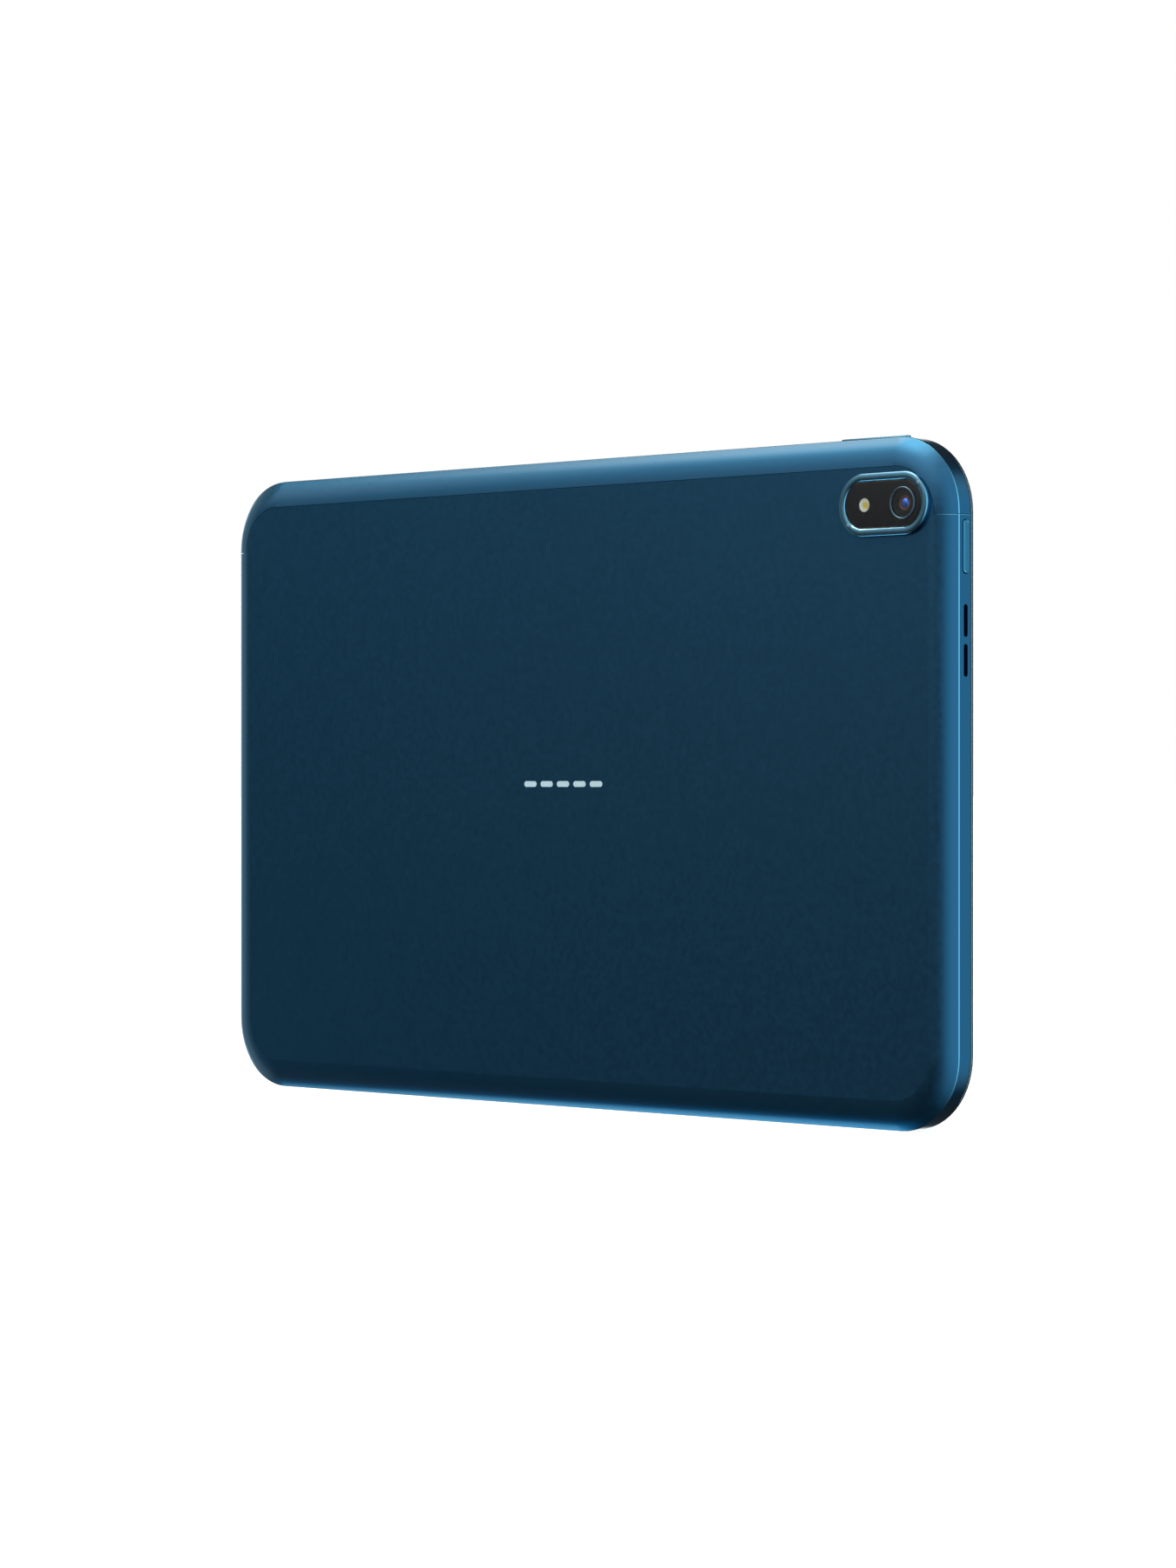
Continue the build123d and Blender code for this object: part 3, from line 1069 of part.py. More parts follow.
with BuildPart() as battery_flex:
    left = FAR_CONNECTOR_X - CONNECTOR_HEIGHT / 2
    right = BATTERY_LEFT + 2 * KEY_FLEX_WIDTH
    slab(((left + right) / 2, PACK_FLEX_Z), (right - left, PACK_BOARD_HEIGHT - 1), FLEX_BACK, FLEX_T)

battery_flex.part.label = "battery_flex"
export_step(battery_flex.part, "parts/battery_flex.step")

# ---------------------------------------------------------------- socket board
with BuildPart() as socket_board:
    board_height = USB_BOARD_HIGH - USB_BOARD_LOW
    board_z = (USB_BOARD_HIGH + USB_BOARD_LOW) / 2
    slab((USB_BOARD_X, board_z), (USB_BOARD_WIDTH, board_height), USB_BOARD_BACK, BOARD_T, 1)
    for place in USB_SCREWS:
        disc(place, SCREW_R, USB_BOARD_BACK, BOARD_T, Mode.SUBTRACT)

socket_board.part.label = "socket_board"
export_step(socket_board.part, "parts/socket_board.step")

with BuildPart() as socket_flex:
    run_left = FAR_CONNECTOR_X - CONNECTOR_HEIGHT / 2
    run_right = USB_BOARD_X
    run_width = BATTERY_MARGIN - MAIN_LOW - 2
    slab(((run_left + run_right) / 2, SUB_FLEX_Z), (run_right - run_left, run_width), FLEX_BACK, FLEX_T)
    rise_low = SUB_FLEX_Z - run_width / 2
    rise_high = USB_BOARD_LOW + KEY_FLEX_WIDTH
    rise_x = run_right - run_width / 2
    rise = (rise_x, (rise_low + rise_high) / 2)
    slab(rise, (run_width, rise_high - rise_low), FLEX_BACK, FLEX_T)

socket_flex.part.label = "socket_flex"
export_step(socket_flex.part, "parts/socket_flex.step")

with BuildPart() as usb_shell:
    mouth = side_plane(1, USB_FROM_BOTTOM, USB_MOUTH_INSET, USB_DEPTH)
    stadium(mouth, USB_WIDTH, USB_HEIGHT, USB_LENGTH)
    wall = 2 * USB_WALL
    stadium(mouth, USB_WIDTH - wall, USB_HEIGHT - wall, USB_LENGTH, Mode.SUBTRACT)

usb_shell.part.label = "usb_shell"
export_step(usb_shell.part, "parts/usb_shell.step")

with BuildPart() as usb_tongue:
    wall = 2 * USB_WALL
    base_inset = USB_MOUTH_INSET + USB_LENGTH - TONGUE_BASE
    base = side_plane(1, USB_FROM_BOTTOM, base_inset, USB_DEPTH)
    stadium(base, USB_WIDTH - wall, USB_HEIGHT - wall, TONGUE_BASE)
    tip = side_plane(1, USB_FROM_BOTTOM, base_inset - TONGUE_LENGTH, USB_DEPTH)
    bar(tip, TONGUE_WIDTH, TONGUE_HEIGHT, TONGUE_LENGTH)

usb_tongue.part.label = "usb_tongue"
export_step(usb_tongue.part, "parts/usb_tongue.step")

with BuildPart() as microphone:
    mic = side_plane(1, USB_FROM_BOTTOM + MIC_FROM_USB, SIDE_WALL)
    bar(mic, MIC_SIZE, MIC_SIZE - 1, MIC_T)

microphone.part.label = "microphone"
export_step(microphone.part, "parts/microphone.step")

# ---------------------------------------------------------------- card tray

with BuildPart() as card_tray:
    door = side_plane(1, TRAY_FROM_BOTTOM, 0, DOOR_DEPTH)
    stadium(door, DOOR_LENGTH, DOOR_WIDTH, DOOR_T)
    notch_z = TRAY_FROM_BOTTOM + DOOR_LENGTH / 2 - DOOR_NOTCH_LENGTH
    notch = side_plane(1, notch_z, 0, DOOR_DEPTH)
    stadium(notch, DOOR_NOTCH_LENGTH, DOOR_WIDTH / 2, DOOR_NOTCH_T, Mode.SUBTRACT)
    reach = TRAY_REACH - DOOR_T
    tray_x = WIDTH / 2 - DOOR_T - reach / 2
    slab((tray_x, TRAY_FROM_BOTTOM), (reach, TRAY_WIDTH), TRAY_BACK, TRAY_T)
    pocket = (POCKET_X, TRAY_FROM_BOTTOM)
    pocket_depth = TRAY_T - TRAY_FLOOR_T
    slab(pocket, (CARD_LENGTH, CARD_WIDTH), TRAY_BACK, pocket_depth, mode=Mode.SUBTRACT)
    margin = 2 * CARD_WINDOW_MARGIN
    opening = (CARD_LENGTH - margin, CARD_WIDTH - margin)
    slab(pocket, opening, TRAY_BACK, TRAY_T, mode=Mode.SUBTRACT)

card_tray.part.label = "card_tray"
export_step(card_tray.part, "parts/card_tray.step")

with BuildPart() as card_reader:
    base_back = USB_BOARD_FRONT
    reader_length = TRAY_REACH - DOOR_T
    rail = 2 * (READER_RAIL + RUN_CLEARANCE)
    reader_left = WIDTH / 2 - TRAY_REACH - READER_RAIL
    reader_right = WIDTH / 2 - USB_BOARD_INSET - 1
    reader_x = (reader_left + reader_right) / 2
    size = (reader_right - reader_left, TRAY_WIDTH + rail)
    slab((reader_x, TRAY_FROM_BOTTOM), size, base_back, TRAY_FRONT - base_back)
    run_right = reader_left + READER_RAIL - RUN_CLEARANCE
    channel_x = run_right + reader_length / 2
    channel = (reader_length, TRAY_WIDTH + 2 * RUN_CLEARANCE)
    slab((channel_x, TRAY_FROM_BOTTOM), channel, base_back + READER_BASE_T, THICKNESS, mode=Mode.SUBTRACT)

card_reader.part.label = "card_reader"
export_step(card_reader.part, "parts/card_reader.step")

with BuildPart() as reader_contacts:
    for index in range(CONTACT_COUNT):
        z = TRAY_FROM_BOTTOM + (index - (CONTACT_COUNT - 1) / 2) * CONTACT_PITCH
        contact_x = POCKET_X - CARD_LENGTH / 4
        low = USB_BOARD_FRONT + READER_BASE_T
        rise = TRAY_BACK - CONTACT_GAP - low
        slab((contact_x, z), (CONTACT_LENGTH, CONTACT_WIDTH), low, rise)

reader_contacts.part.label = "reader_contacts"
export_step(reader_contacts.part, "parts/reader_contacts.step")

# ---------------------------------------------------------------- antennas, badge and screws
with BuildPart() as antennas:
    for x in ((TOP_HOOKS[0] + TOP_HOOKS[1]) / 2, (TOP_HOOKS[1] + TOP_HOOKS[2]) / 2):
        length = (TOP_HOOKS[2] - TOP_HOOKS[1]) / 2
        bar(top_plane(x, SIDE_WALL), length, SWITCH_WIDTH, SPREADER_T)

antennas.part.label = "antennas"
export_step(antennas.part, "parts/antennas.step")

with BuildPart() as rear_badge:
    pitch = (BADGE_LENGTH + BADGE_GAP) / BADGE_DASHES
    for index in range(BADGE_DASHES):
        x = (index - (BADGE_DASHES - 1) / 2) * pitch
        flat_stadium((x, MIDDLE), pitch - BADGE_GAP, BADGE_HEIGHT, 0, BADGE_T)

rear_badge.part.label = "rear_badge"
export_step(rear_badge.part, "parts/rear_badge.step")

with BuildPart() as board_screws:
    seats = [(place, MAIN_BOARD_BACK) for place in MAIN_SCREWS]
    seats += [(place, USB_BOARD_BACK) for place in USB_SCREWS]
    for place, seat in seats:
        disc(place, SCREW_HEAD_R, seat - SCREW_HEAD_T, SCREW_HEAD_T)
        disc(place, SCREW_R, seat, SCREW_LENGTH)
        disc(place, SCREW_RECESS_R, seat - SCREW_HEAD_T, SCREW_RECESS_T, Mode.SUBTRACT)

board_screws.part.label = "board_screws"
export_step(board_screws.part, "parts/board_screws.step")
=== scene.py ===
"""Looks of a slim ten-inch tablet computer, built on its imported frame.

The tablet stands upright on its long lower edge. +X runs along its width, +Y points out of the rear
face and +Z runs up its height. Every length here is in metres.
"""

from __future__ import annotations

import logging
import math
from dataclasses import dataclass, field
from enum import Enum
from typing import Callable, ClassVar, Sequence

import bmesh
import bpy
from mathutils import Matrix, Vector


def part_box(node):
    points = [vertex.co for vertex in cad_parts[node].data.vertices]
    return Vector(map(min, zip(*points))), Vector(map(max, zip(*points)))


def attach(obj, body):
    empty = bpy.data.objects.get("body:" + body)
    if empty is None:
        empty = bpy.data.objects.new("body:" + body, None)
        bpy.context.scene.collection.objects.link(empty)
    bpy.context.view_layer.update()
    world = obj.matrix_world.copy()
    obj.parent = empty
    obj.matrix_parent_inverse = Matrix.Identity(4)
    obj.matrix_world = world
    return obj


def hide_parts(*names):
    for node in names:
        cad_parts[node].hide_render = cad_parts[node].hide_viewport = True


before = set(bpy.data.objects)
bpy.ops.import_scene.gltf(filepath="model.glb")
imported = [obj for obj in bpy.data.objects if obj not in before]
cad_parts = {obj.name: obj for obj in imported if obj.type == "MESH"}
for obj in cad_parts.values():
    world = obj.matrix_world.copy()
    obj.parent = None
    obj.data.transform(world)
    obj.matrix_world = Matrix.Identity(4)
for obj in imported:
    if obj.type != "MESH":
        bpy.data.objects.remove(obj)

LOG = logging.getLogger("tablet")
MM = 0.001
Colour = tuple[float, float, float]
Place = tuple[float, float, float]
Link = bpy.types.NodeSocket

WIDTH = 247.6 * MM
THICKNESS = 7.8 * MM
ROLL_DEPTH = 2.7 * MM
BAND_FRONT = 6.65 * MM
# Width of the painted highlight lines along the side band's edges.
HIGHLIGHT_REACH = 0.18 * MM


class Facing(Enum):
    """Which way a disc is turned before it is shaped, as Euler angles."""

    REAR = (-math.pi / 2, 0.0, 0.0)
    LEFT = (0.0, -math.pi / 2, 0.0)
    UP = (0.0, 0.0, 0.0)


def depth_y(depth: float) -> float:
    """Height of a layer above the middle of the thickness, from its depth under the rear face."""
    return THICKNESS / 2 - depth


# ------------------------------------------------------------------ node building
class NodeDesk:
    """Builds one node tree, for a material, a world or a node group."""

    def __init__(self, tree: bpy.types.NodeTree) -> None:
        """Keeps the tree that nodes are added to."""
        self.tree = tree

    def node(self, kind: str, inputs: dict | None = None, **settings: object) -> bpy.types.Node:
        """Adds a node.

        Args:
            kind: Blender's name for the node's type.
            inputs: Values or output sockets for its inputs, by name or place.
            **settings: Properties of the node itself.

        Returns:
            The new node.
        """
        made = self.tree.nodes.new(kind)
        for name, value in settings.items():
            setattr(made, name, value)
        for key, value in (inputs or {}).items():
            if isinstance(value, bpy.types.NodeSocket):
                self.tree.links.new(value, made.inputs[key])
            else:
                made.inputs[key].default_value = value
        return made

    def math(self, operation: str, *values: object, clamp: bool = False) -> Link:
        """Adds a Math node and returns its result."""
        inputs = dict(enumerate(values))
        return self.node("ShaderNodeMath", inputs, operation=operation, use_clamp=clamp).outputs[0]

    def remap(
        self, value: Link, low: float, high: float, new_low: float, new_high: float
    ) -> Link:
        """Maps a value from one range to another, clamped, and returns the result."""
        ranges = {0: value, 1: low, 2: high, 3: new_low, 4: new_high}
        return self.node("ShaderNodeMapRange", ranges).outputs[0]

    def blend(self, factor: object, first: object, second: object) -> Link:
        """Mixes two colours.

        Args:
            factor: How much of the second, as a value or a socket.
            first: First colour, as a colour or a socket.
            second: Second colour, as a colour or a socket.

        Returns:
            The mixed colour.
        """
        mix = self.node("ShaderNodeMix", data_type="RGBA")
        for place, value in ((0, factor), (6, first), (7, second)):
            if isinstance(value, bpy.types.NodeSocket):
                self.tree.links.new(value, mix.inputs[place])
            elif place == 0:
                mix.inputs[place].default_value = value
            else:
                mix.inputs[place].default_value = (*value, 1.0)
        return mix.outputs[2]

    def vector(self, operation: str, *values: object) -> Link:
        """Adds a Vector Math node and returns its vector."""
        return self.node("ShaderNodeVectorMath", dict(enumerate(values)), operation=operation).outputs[0]

    def noise(self, vector: Link, scale: object, detail: float = 2.0) -> Link:
        """Adds a noise texture and returns its value."""
        inputs = {"Vector": vector, "Scale": scale, "Detail": detail}
        return self.node("ShaderNodeTexNoise", inputs).outputs[0]

    def place(self) -> Link:
        """Object coordinates, in metres."""
        return self.node("ShaderNodeTexCoord").outputs["Object"]

    def axes(self) -> bpy.types.Node:
        """Separate X, Y and Z of the object coordinates."""
        return self.node("ShaderNodeSeparateXYZ", {0: self.place()})

    def group(self, tree: bpy.types.NodeTree, **inputs: float) -> bpy.types.Node:
        """Adds a shared group.

        Args:
            tree: The group.
            **inputs: Its input values by name, with underscores for spaces.

        Returns:
            The group's node.
        """
        made = self.node("ShaderNodeGroup", node_tree=tree)
        for name, value in inputs.items():
            made.inputs[name.replace("_", " ").title()].default_value = value
        return made


class SurfaceGroups:
    """Node groups that several finishes share. Each is made once."""

    def __init__(self) -> None:
        """Makes all groups."""
        self.grain = self._grain()
        self.handling = self._handling()
        self.band_highlight_group = self._make_band_highlight_group()
        self.brushing = self._brushing()
        self.turning = self._turning()
        self.weave = self._weave()
        self.edge_highlight_group = self._make_edge_highlight_group()

    @staticmethod
    def _group(name: str, inputs: dict[str, float], outputs: Sequence[str]) -> tuple:
        """Starts a group with float sockets.

        Args:
            name: The group's name.
            inputs: Default value of each input, by name.
            outputs: Names of the outputs.

        Returns:
            The group's tree, its desk, its input node and its output node.
        """
        tree = bpy.data.node_groups.new(name, "ShaderNodeTree")
        for label, value in inputs.items():
            socket = tree.interface.new_socket(label, in_out="INPUT", socket_type="NodeSocketFloat")
            socket.default_value = value
        for label in outputs:
            tree.interface.new_socket(label, in_out="OUTPUT", socket_type="NodeSocketFloat")
        desk = NodeDesk(tree)
        return tree, desk, desk.node("NodeGroupInput"), desk.node("NodeGroupOutput")

    def _grain(self) -> bpy.types.NodeTree:
        """Fine blasted or moulded grain: a height and a slow mottle.

        Returns:
            The group.
        """
        tree, desk, given, result = self._group(
            "surface_grain", {"Scale": 4000.0, "Mottle Scale": 60.0}, ("Height", "Mottle")
        )
        place = desk.place()
        fine = desk.noise(place, given.outputs["Scale"], 2.0)
        cells = desk.node("ShaderNodeTexVoronoi", {"Vector": place, "Scale": given.outputs["Scale"]})
        height = desk.math("MULTIPLY_ADD", cells.outputs["Distance"], 0.45, fine)
        mottle = desk.noise(place, given.outputs["Mottle Scale"], 4.0)
        tree.links.new(height, result.inputs["Height"])
        tree.links.new(mottle, result.inputs["Mottle"])
        return tree

    def _handling(self) -> bpy.types.NodeTree:
        """Faint smudges left by hands: a mask.

        Returns:
            The group.
        """
        tree, desk, given, result = self._group("handling_marks", {"Scale": 14.0, "Amount": 0.5}, ("Mask",))
        place = desk.place()
        wash = desk.noise(place, given.outputs["Scale"], 2.0)
        whorl = desk.node(
            "ShaderNodeTexNoise",
            {"Vector": place, "Scale": desk.math("MULTIPLY", given.outputs["Scale"], 6.0), "Distortion": 2.4},
        )
        patch = desk.remap(wash, 0.5, 0.8, 0.0, 1.0)
        mixed = desk.math("MULTIPLY", patch, desk.remap(whorl.outputs[0], 0.35, 0.7, 0.5, 1.0))
        tree.links.new(desk.math("MULTIPLY", mixed, given.outputs["Amount"]), result.inputs["Mask"])
        return tree

    def _make_band_highlight_group(self) -> bpy.types.NodeTree:
        """Mask of the two painted highlight lines along the side band, by their place in the thickness.

        Returns:
            The group.
        """
        tree, desk, given, result = self._group(
            "painted_band_highlights", {"Rear": 0.0, "Front": 0.0, "Reach": HIGHLIGHT_REACH}, ("Mask",)
        )
        split = desk.axes()
        masks = []
        for name in ("Rear", "Front"):
            away = desk.math("ABSOLUTE", desk.math("SUBTRACT", split.outputs["Y"], given.outputs[name]))
            masks.append(desk.math("LESS_THAN", away, given.outputs["Reach"]))
        tree.links.new(desk.math("MAXIMUM", *masks), result.inputs["Mask"])
        return tree

    def _brushing(self) -> bpy.types.NodeTree:
        """Straight brushing along X: a height and a streak mask.

        Returns:
            The group.
        """
        tree, desk, given, result = self._group(
            "straight_brushing", {"Scale": 900.0, "Stretch": 0.03}, ("Height", "Streak")
        )
        squeeze = desk.node("ShaderNodeCombineXYZ", {0: given.outputs["Stretch"], 1: 1.0, 2: 1.0})
        stretched = desk.vector("MULTIPLY", desk.place(), squeeze.outputs[0])
        streak = desk.noise(stretched, given.outputs["Scale"], 3.0)
        tree.links.new(streak, result.inputs["Height"])
        tree.links.new(desk.remap(streak, 0.3, 0.7, 0.0, 1.0), result.inputs["Streak"])
        return tree

    def _turning(self) -> bpy.types.NodeTree:
        """Fine turned rings round an axis along Y: a height and the distance from the axis.

        Returns:
            The group.
        """
        tree, desk, given, result = self._group(
            "turned_rings", {"Centre X": 0.0, "Centre Z": 0.0, "Pitch": 0.00008}, ("Height", "Radius")
        )
        centre = desk.node("ShaderNodeCombineXYZ", {0: given.outputs["Centre X"], 2: given.outputs["Centre Z"]})
        flat = desk.vector("MULTIPLY", desk.vector("SUBTRACT", desk.place(), centre.outputs[0]), (1.0, 0.0, 1.0))
        radius = desk.node("ShaderNodeVectorMath", {0: flat}, operation="LENGTH").outputs["Value"]
        turns = desk.math("DIVIDE", radius, given.outputs["Pitch"])
        ridge = desk.math("SINE", desk.math("MULTIPLY", turns, 2 * math.pi))
        tree.links.new(ridge, result.inputs["Height"])
        tree.links.new(radius, result.inputs["Radius"])
        return tree

    def _weave(self) -> bpy.types.NodeTree:
        """Plain weave of fine wire across the plane of X or Z and Y: a height and a hole mask.

        Returns:
            The group.
        """
        tree, desk, given, result = self._group("wire_weave", {"Pitch": 0.00022}, ("Height", "Holes"))
        split = desk.axes()
        turn = desk.math("DIVIDE", 2 * math.pi, given.outputs["Pitch"])
        run = desk.math("ADD", split.outputs["X"], split.outputs["Z"])
        warp = desk.math("ABSOLUTE", desk.math("SINE", desk.math("MULTIPLY", run, turn)))
        weft = desk.math("ABSOLUTE", desk.math("SINE", desk.math("MULTIPLY", split.outputs["Y"], turn)))
        height = desk.math("MAXIMUM", warp, weft)
        tree.links.new(height, result.inputs["Height"])
        tree.links.new(desk.remap(height, 0.45, 0.7, 1.0, 0.0), result.inputs["Holes"])
        return tree

    def _make_edge_highlight_group(self) -> bpy.types.NodeTree:
        """Mask of sharp convex edges, found by pointiness, where a highlight colour is painted.

        Returns:
            The group.
        """
        tree, desk, given, result = self._group("edge_highlight_group", {"Start": 0.52, "Full": 0.62}, ("Mask",))
        pointed = desk.node("ShaderNodeNewGeometry").outputs["Pointiness"]
        ranges = {0: pointed, 1: given.outputs["Start"], 2: given.outputs["Full"], 3: 0.0, 4: 1.0}
        tree.links.new(desk.node("ShaderNodeMapRange", ranges).outputs[0], result.inputs["Mask"])
        return tree


# ------------------------------------------------------------------ finishes
@dataclass(frozen=True)
class Finish:
    """A finish with a base colour and a roughness that both vary a little over the surface."""

    name: str
    base: Colour
    deep: Colour
    roughness: float
    metallic: float = 0.0
    grain_scale: float = 4000.0
    grain_height: float = 0.000002
    mottle_scale: float = 300.0
    spread: float = 0.08
    smudge: float = 0.0
    coat: float = 0.0
    coat_roughness: float = 0.2
    specular: float = 0.5
    lacquer: float = 0.0
    edge_tint: Colour = (1.0, 1.0, 1.0)
    # Emission that makes an unlit part look lit: painted light.
    painted_glow: float = 0.0

    def material(self, groups: SurfaceGroups) -> bpy.types.Material:
        """Makes the material.

        Args:
            groups: The shared node groups.

        Returns:
            The finished material.
        """
        made = bpy.data.materials.new(self.name)
        made.use_nodes = True
        made.diffuse_color = (*self.base, 1.0)
        desk = NodeDesk(made.node_tree)
        shader = made.node_tree.nodes["Principled BSDF"]
        shader.inputs["Metallic"].default_value = self.metallic
        shader.inputs["Specular IOR Level"].default_value = self.specular
        shader.inputs["Specular Tint"].default_value = (*self.edge_tint, 1.0)
        shader.inputs["Coat Weight"].default_value = self.coat
        shader.inputs["Coat Roughness"].default_value = self.coat_roughness
        grain = desk.group(groups.grain, scale=self.grain_scale, mottle_scale=self.mottle_scale)
        tone = desk.remap(grain.outputs["Mottle"], 0.3, 0.7, 0.0, 1.0)
        colour = desk.blend(tone, self.deep, self.base)
        low, high = self.roughness * (1.0 - self.spread), self.roughness * (1.0 + self.spread)
        rough = desk.remap(grain.outputs["Mottle"], 0.3, 0.7, low, high)
        if self.smudge:
            marks = desk.group(groups.handling, amount=self.smudge)
            rough = desk.math("MULTIPLY_ADD", marks.outputs["Mask"], 0.12, rough)
        height = self.height(desk, groups, grain.outputs["Height"])
        bump = desk.node("ShaderNodeBump", {"Height": height, "Distance": self.grain_height, "Strength": 1.0})
        colour, rough = self.dress(desk, groups, colour, rough)
        made.node_tree.links.new(colour, shader.inputs["Base Color"])
        made.node_tree.links.new(rough, shader.inputs["Roughness"])
        made.node_tree.links.new(bump.outputs[0], shader.inputs["Normal"])
        # Painted light: the part emits its own colour though it is no lamp.
        if self.painted_glow:
            made.node_tree.links.new(colour, shader.inputs["Emission Color"])
            shader.inputs["Emission Strength"].default_value = self.painted_glow
        if self.lacquer:
            facing = desk.node("ShaderNodeLayerWeight", {"Blend": 0.5}).outputs["Facing"]
            sheen = desk.remap(facing, 0.34, 0.52, 0.0, self.lacquer)
            made.node_tree.links.new(sheen, shader.inputs["Coat Weight"])
        self.finish_shader(desk, groups, shader)
        return made

    def height(self, desk: NodeDesk, groups: SurfaceGroups, grain: Link) -> Link:
        """Hook for finishes with relief of their own; returns the height that is bumped."""
        return grain

    def dress(
        self, desk: NodeDesk, groups: SurfaceGroups, colour: Link, rough: Link
    ) -> tuple[Link, Link]:
        """Hook for finishes that add a pattern; returns colour and roughness."""
        return colour, rough

    def finish_shader(self, desk: NodeDesk, groups: SurfaceGroups, shader: bpy.types.Node) -> None:
        """Hook for finishes that set further shader sockets."""


@dataclass(frozen=True)
class HighlightLineMetal(Finish):
    """Anodised metal with painted highlight lines along both edges of the side band and at the cap's foot."""

    # Lighter colour painted along the band's edges and the cap's foot: painted highlight.
    painted_line_colour: Colour = (0.13, 0.30, 0.42)
    painted_line_roughness: float = 0.24
    reach: float = 0.11 * MM
    foot: float = 139.23 * MM
    inset: float = 5.2 * MM

    def dress(
        self, desk: NodeDesk, groups: SurfaceGroups, colour: Link, rough: Link
    ) -> tuple[Link, Link]:
        """Adds the painted highlight lines along the band's edges and at the cap's foot.

        Args:
            desk: Desk of the material's tree.
            groups: The shared node groups.
            colour: Plain colour.
            rough: Plain roughness.

        Returns:
            Colour and roughness with the painted highlight lines.
        """
        rear, front = depth_y(ROLL_DEPTH) + self.reach / 4, depth_y(BAND_FRONT) - self.reach / 4
        band_lines = desk.group(groups.band_highlight_group, rear=rear, front=front, reach=self.reach)
        split = desk.axes()
        away = desk.math("ABSOLUTE", desk.math("SUBTRACT", split.outputs["Z"], self.foot))
        level = desk.math("LESS_THAN", away, self.reach)
        beside = desk.math("GREATER_THAN", desk.math("ABSOLUTE", split.outputs["X"]), WIDTH / 2 - self.inset)
        mask = desk.math("MAXIMUM", band_lines.outputs["Mask"], desk.math("MULTIPLY", level, beside))
        kept = desk.math("MULTIPLY", rough, desk.math("SUBTRACT", 1.0, mask))
        rough = desk.math("MULTIPLY_ADD", mask, self.painted_line_roughness, kept)
        # Painted highlight: a lighter colour and a lower roughness where the mask is set.
        return desk.blend(mask, colour, self.painted_line_colour), rough


@dataclass(frozen=True)
class EdgeHighlightMetal(Finish):
    """Anodised metal with a pale highlight colour painted along its sharp edges."""

    # Pale colour painted along sharp edges: painted highlight.
    painted_edge_colour: Colour = (0.30, 0.50, 0.62)

    def dress(
        self, desk: NodeDesk, groups: SurfaceGroups, colour: Link, rough: Link
    ) -> tuple[Link, Link]:
        """Paints the highlight colour along the sharp edges; returns colour and roughness."""
        edge_paint_mask = desk.group(groups.edge_highlight_group)
        return desk.blend(edge_paint_mask.outputs["Mask"], colour, self.painted_edge_colour), rough


@dataclass(frozen=True)
class BrushedMetal(Finish):
    """Metal with straight brushing."""

    def height(self, desk: NodeDesk, groups: SurfaceGroups, grain: Link) -> Link:
        """Uses the brushing for relief."""
        return desk.group(groups.brushing).outputs["Height"]

    def dress(
        self, desk: NodeDesk, groups: SurfaceGroups, colour: Link, rough: Link
    ) -> tuple[Link, Link]:
        """Varies the roughness with the streaks; returns colour and roughness."""
        streak = desk.group(groups.brushing).outputs["Streak"]
        return colour, desk.math("MULTIPLY_ADD", streak, 0.08, rough)


@dataclass(frozen=True)
class TurnedFinish(Finish):
    """A finish with fine rings turned round one axis along Y."""

    centre: tuple[float, float] = (0.0, 0.0)
    pitch: float = 0.09 * MM

    def height(self, desk: NodeDesk, groups: SurfaceGroups, grain: Link) -> Link:
        """Uses the rings for relief."""
        x, z = self.centre
        return desk.group(groups.turning, centre_x=x, centre_z=z, pitch=self.pitch).outputs["Height"]


@dataclass(frozen=True)
class WovenFinish(Finish):
    """A sheet of finely woven wire."""

    hole: Colour = (0.001, 0.001, 0.002)

    def height(self, desk: NodeDesk, groups: SurfaceGroups, grain: Link) -> Link:
        """Uses the weave for relief."""
        return desk.group(groups.weave).outputs["Height"]

    def dress(
        self, desk: NodeDesk, groups: SurfaceGroups, colour: Link, rough: Link
    ) -> tuple[Link, Link]:
        """Darkens the holes; returns colour and roughness."""
        weave = desk.group(groups.weave)
        return desk.blend(weave.outputs["Holes"], colour, self.hole), rough


@dataclass(frozen=True)
class ClearFinish(Finish):
    """Glass or clear plastic, seen through from outside."""

    ior: float = 1.5
    transmission: float = 1.0

    def finish_shader(self, desk: NodeDesk, groups: SurfaceGroups, shader: bpy.types.Node) -> None:
        """Sets the transmission."""
        shader.inputs["IOR"].default_value = self.ior
        shader.inputs["Transmission Weight"].default_value = self.transmission


# ------------------------------------------------------------------ studio
@dataclass(frozen=True)
class Softbox:
    """A soft light at a direction: full strength inside one angle, fading out to another."""

    azimuth: float
    elevation: float
    inner: float
    outer: float
    strength: float
    tint: Colour = (1.0, 1.0, 1.0)

    def direction(self) -> Vector:
        """Unit vector towards the light."""
        a, e = math.radians(self.azimuth), math.radians(self.elevation)
        return Vector((math.cos(a) * math.cos(e), math.sin(a) * math.cos(e), math.sin(e)))


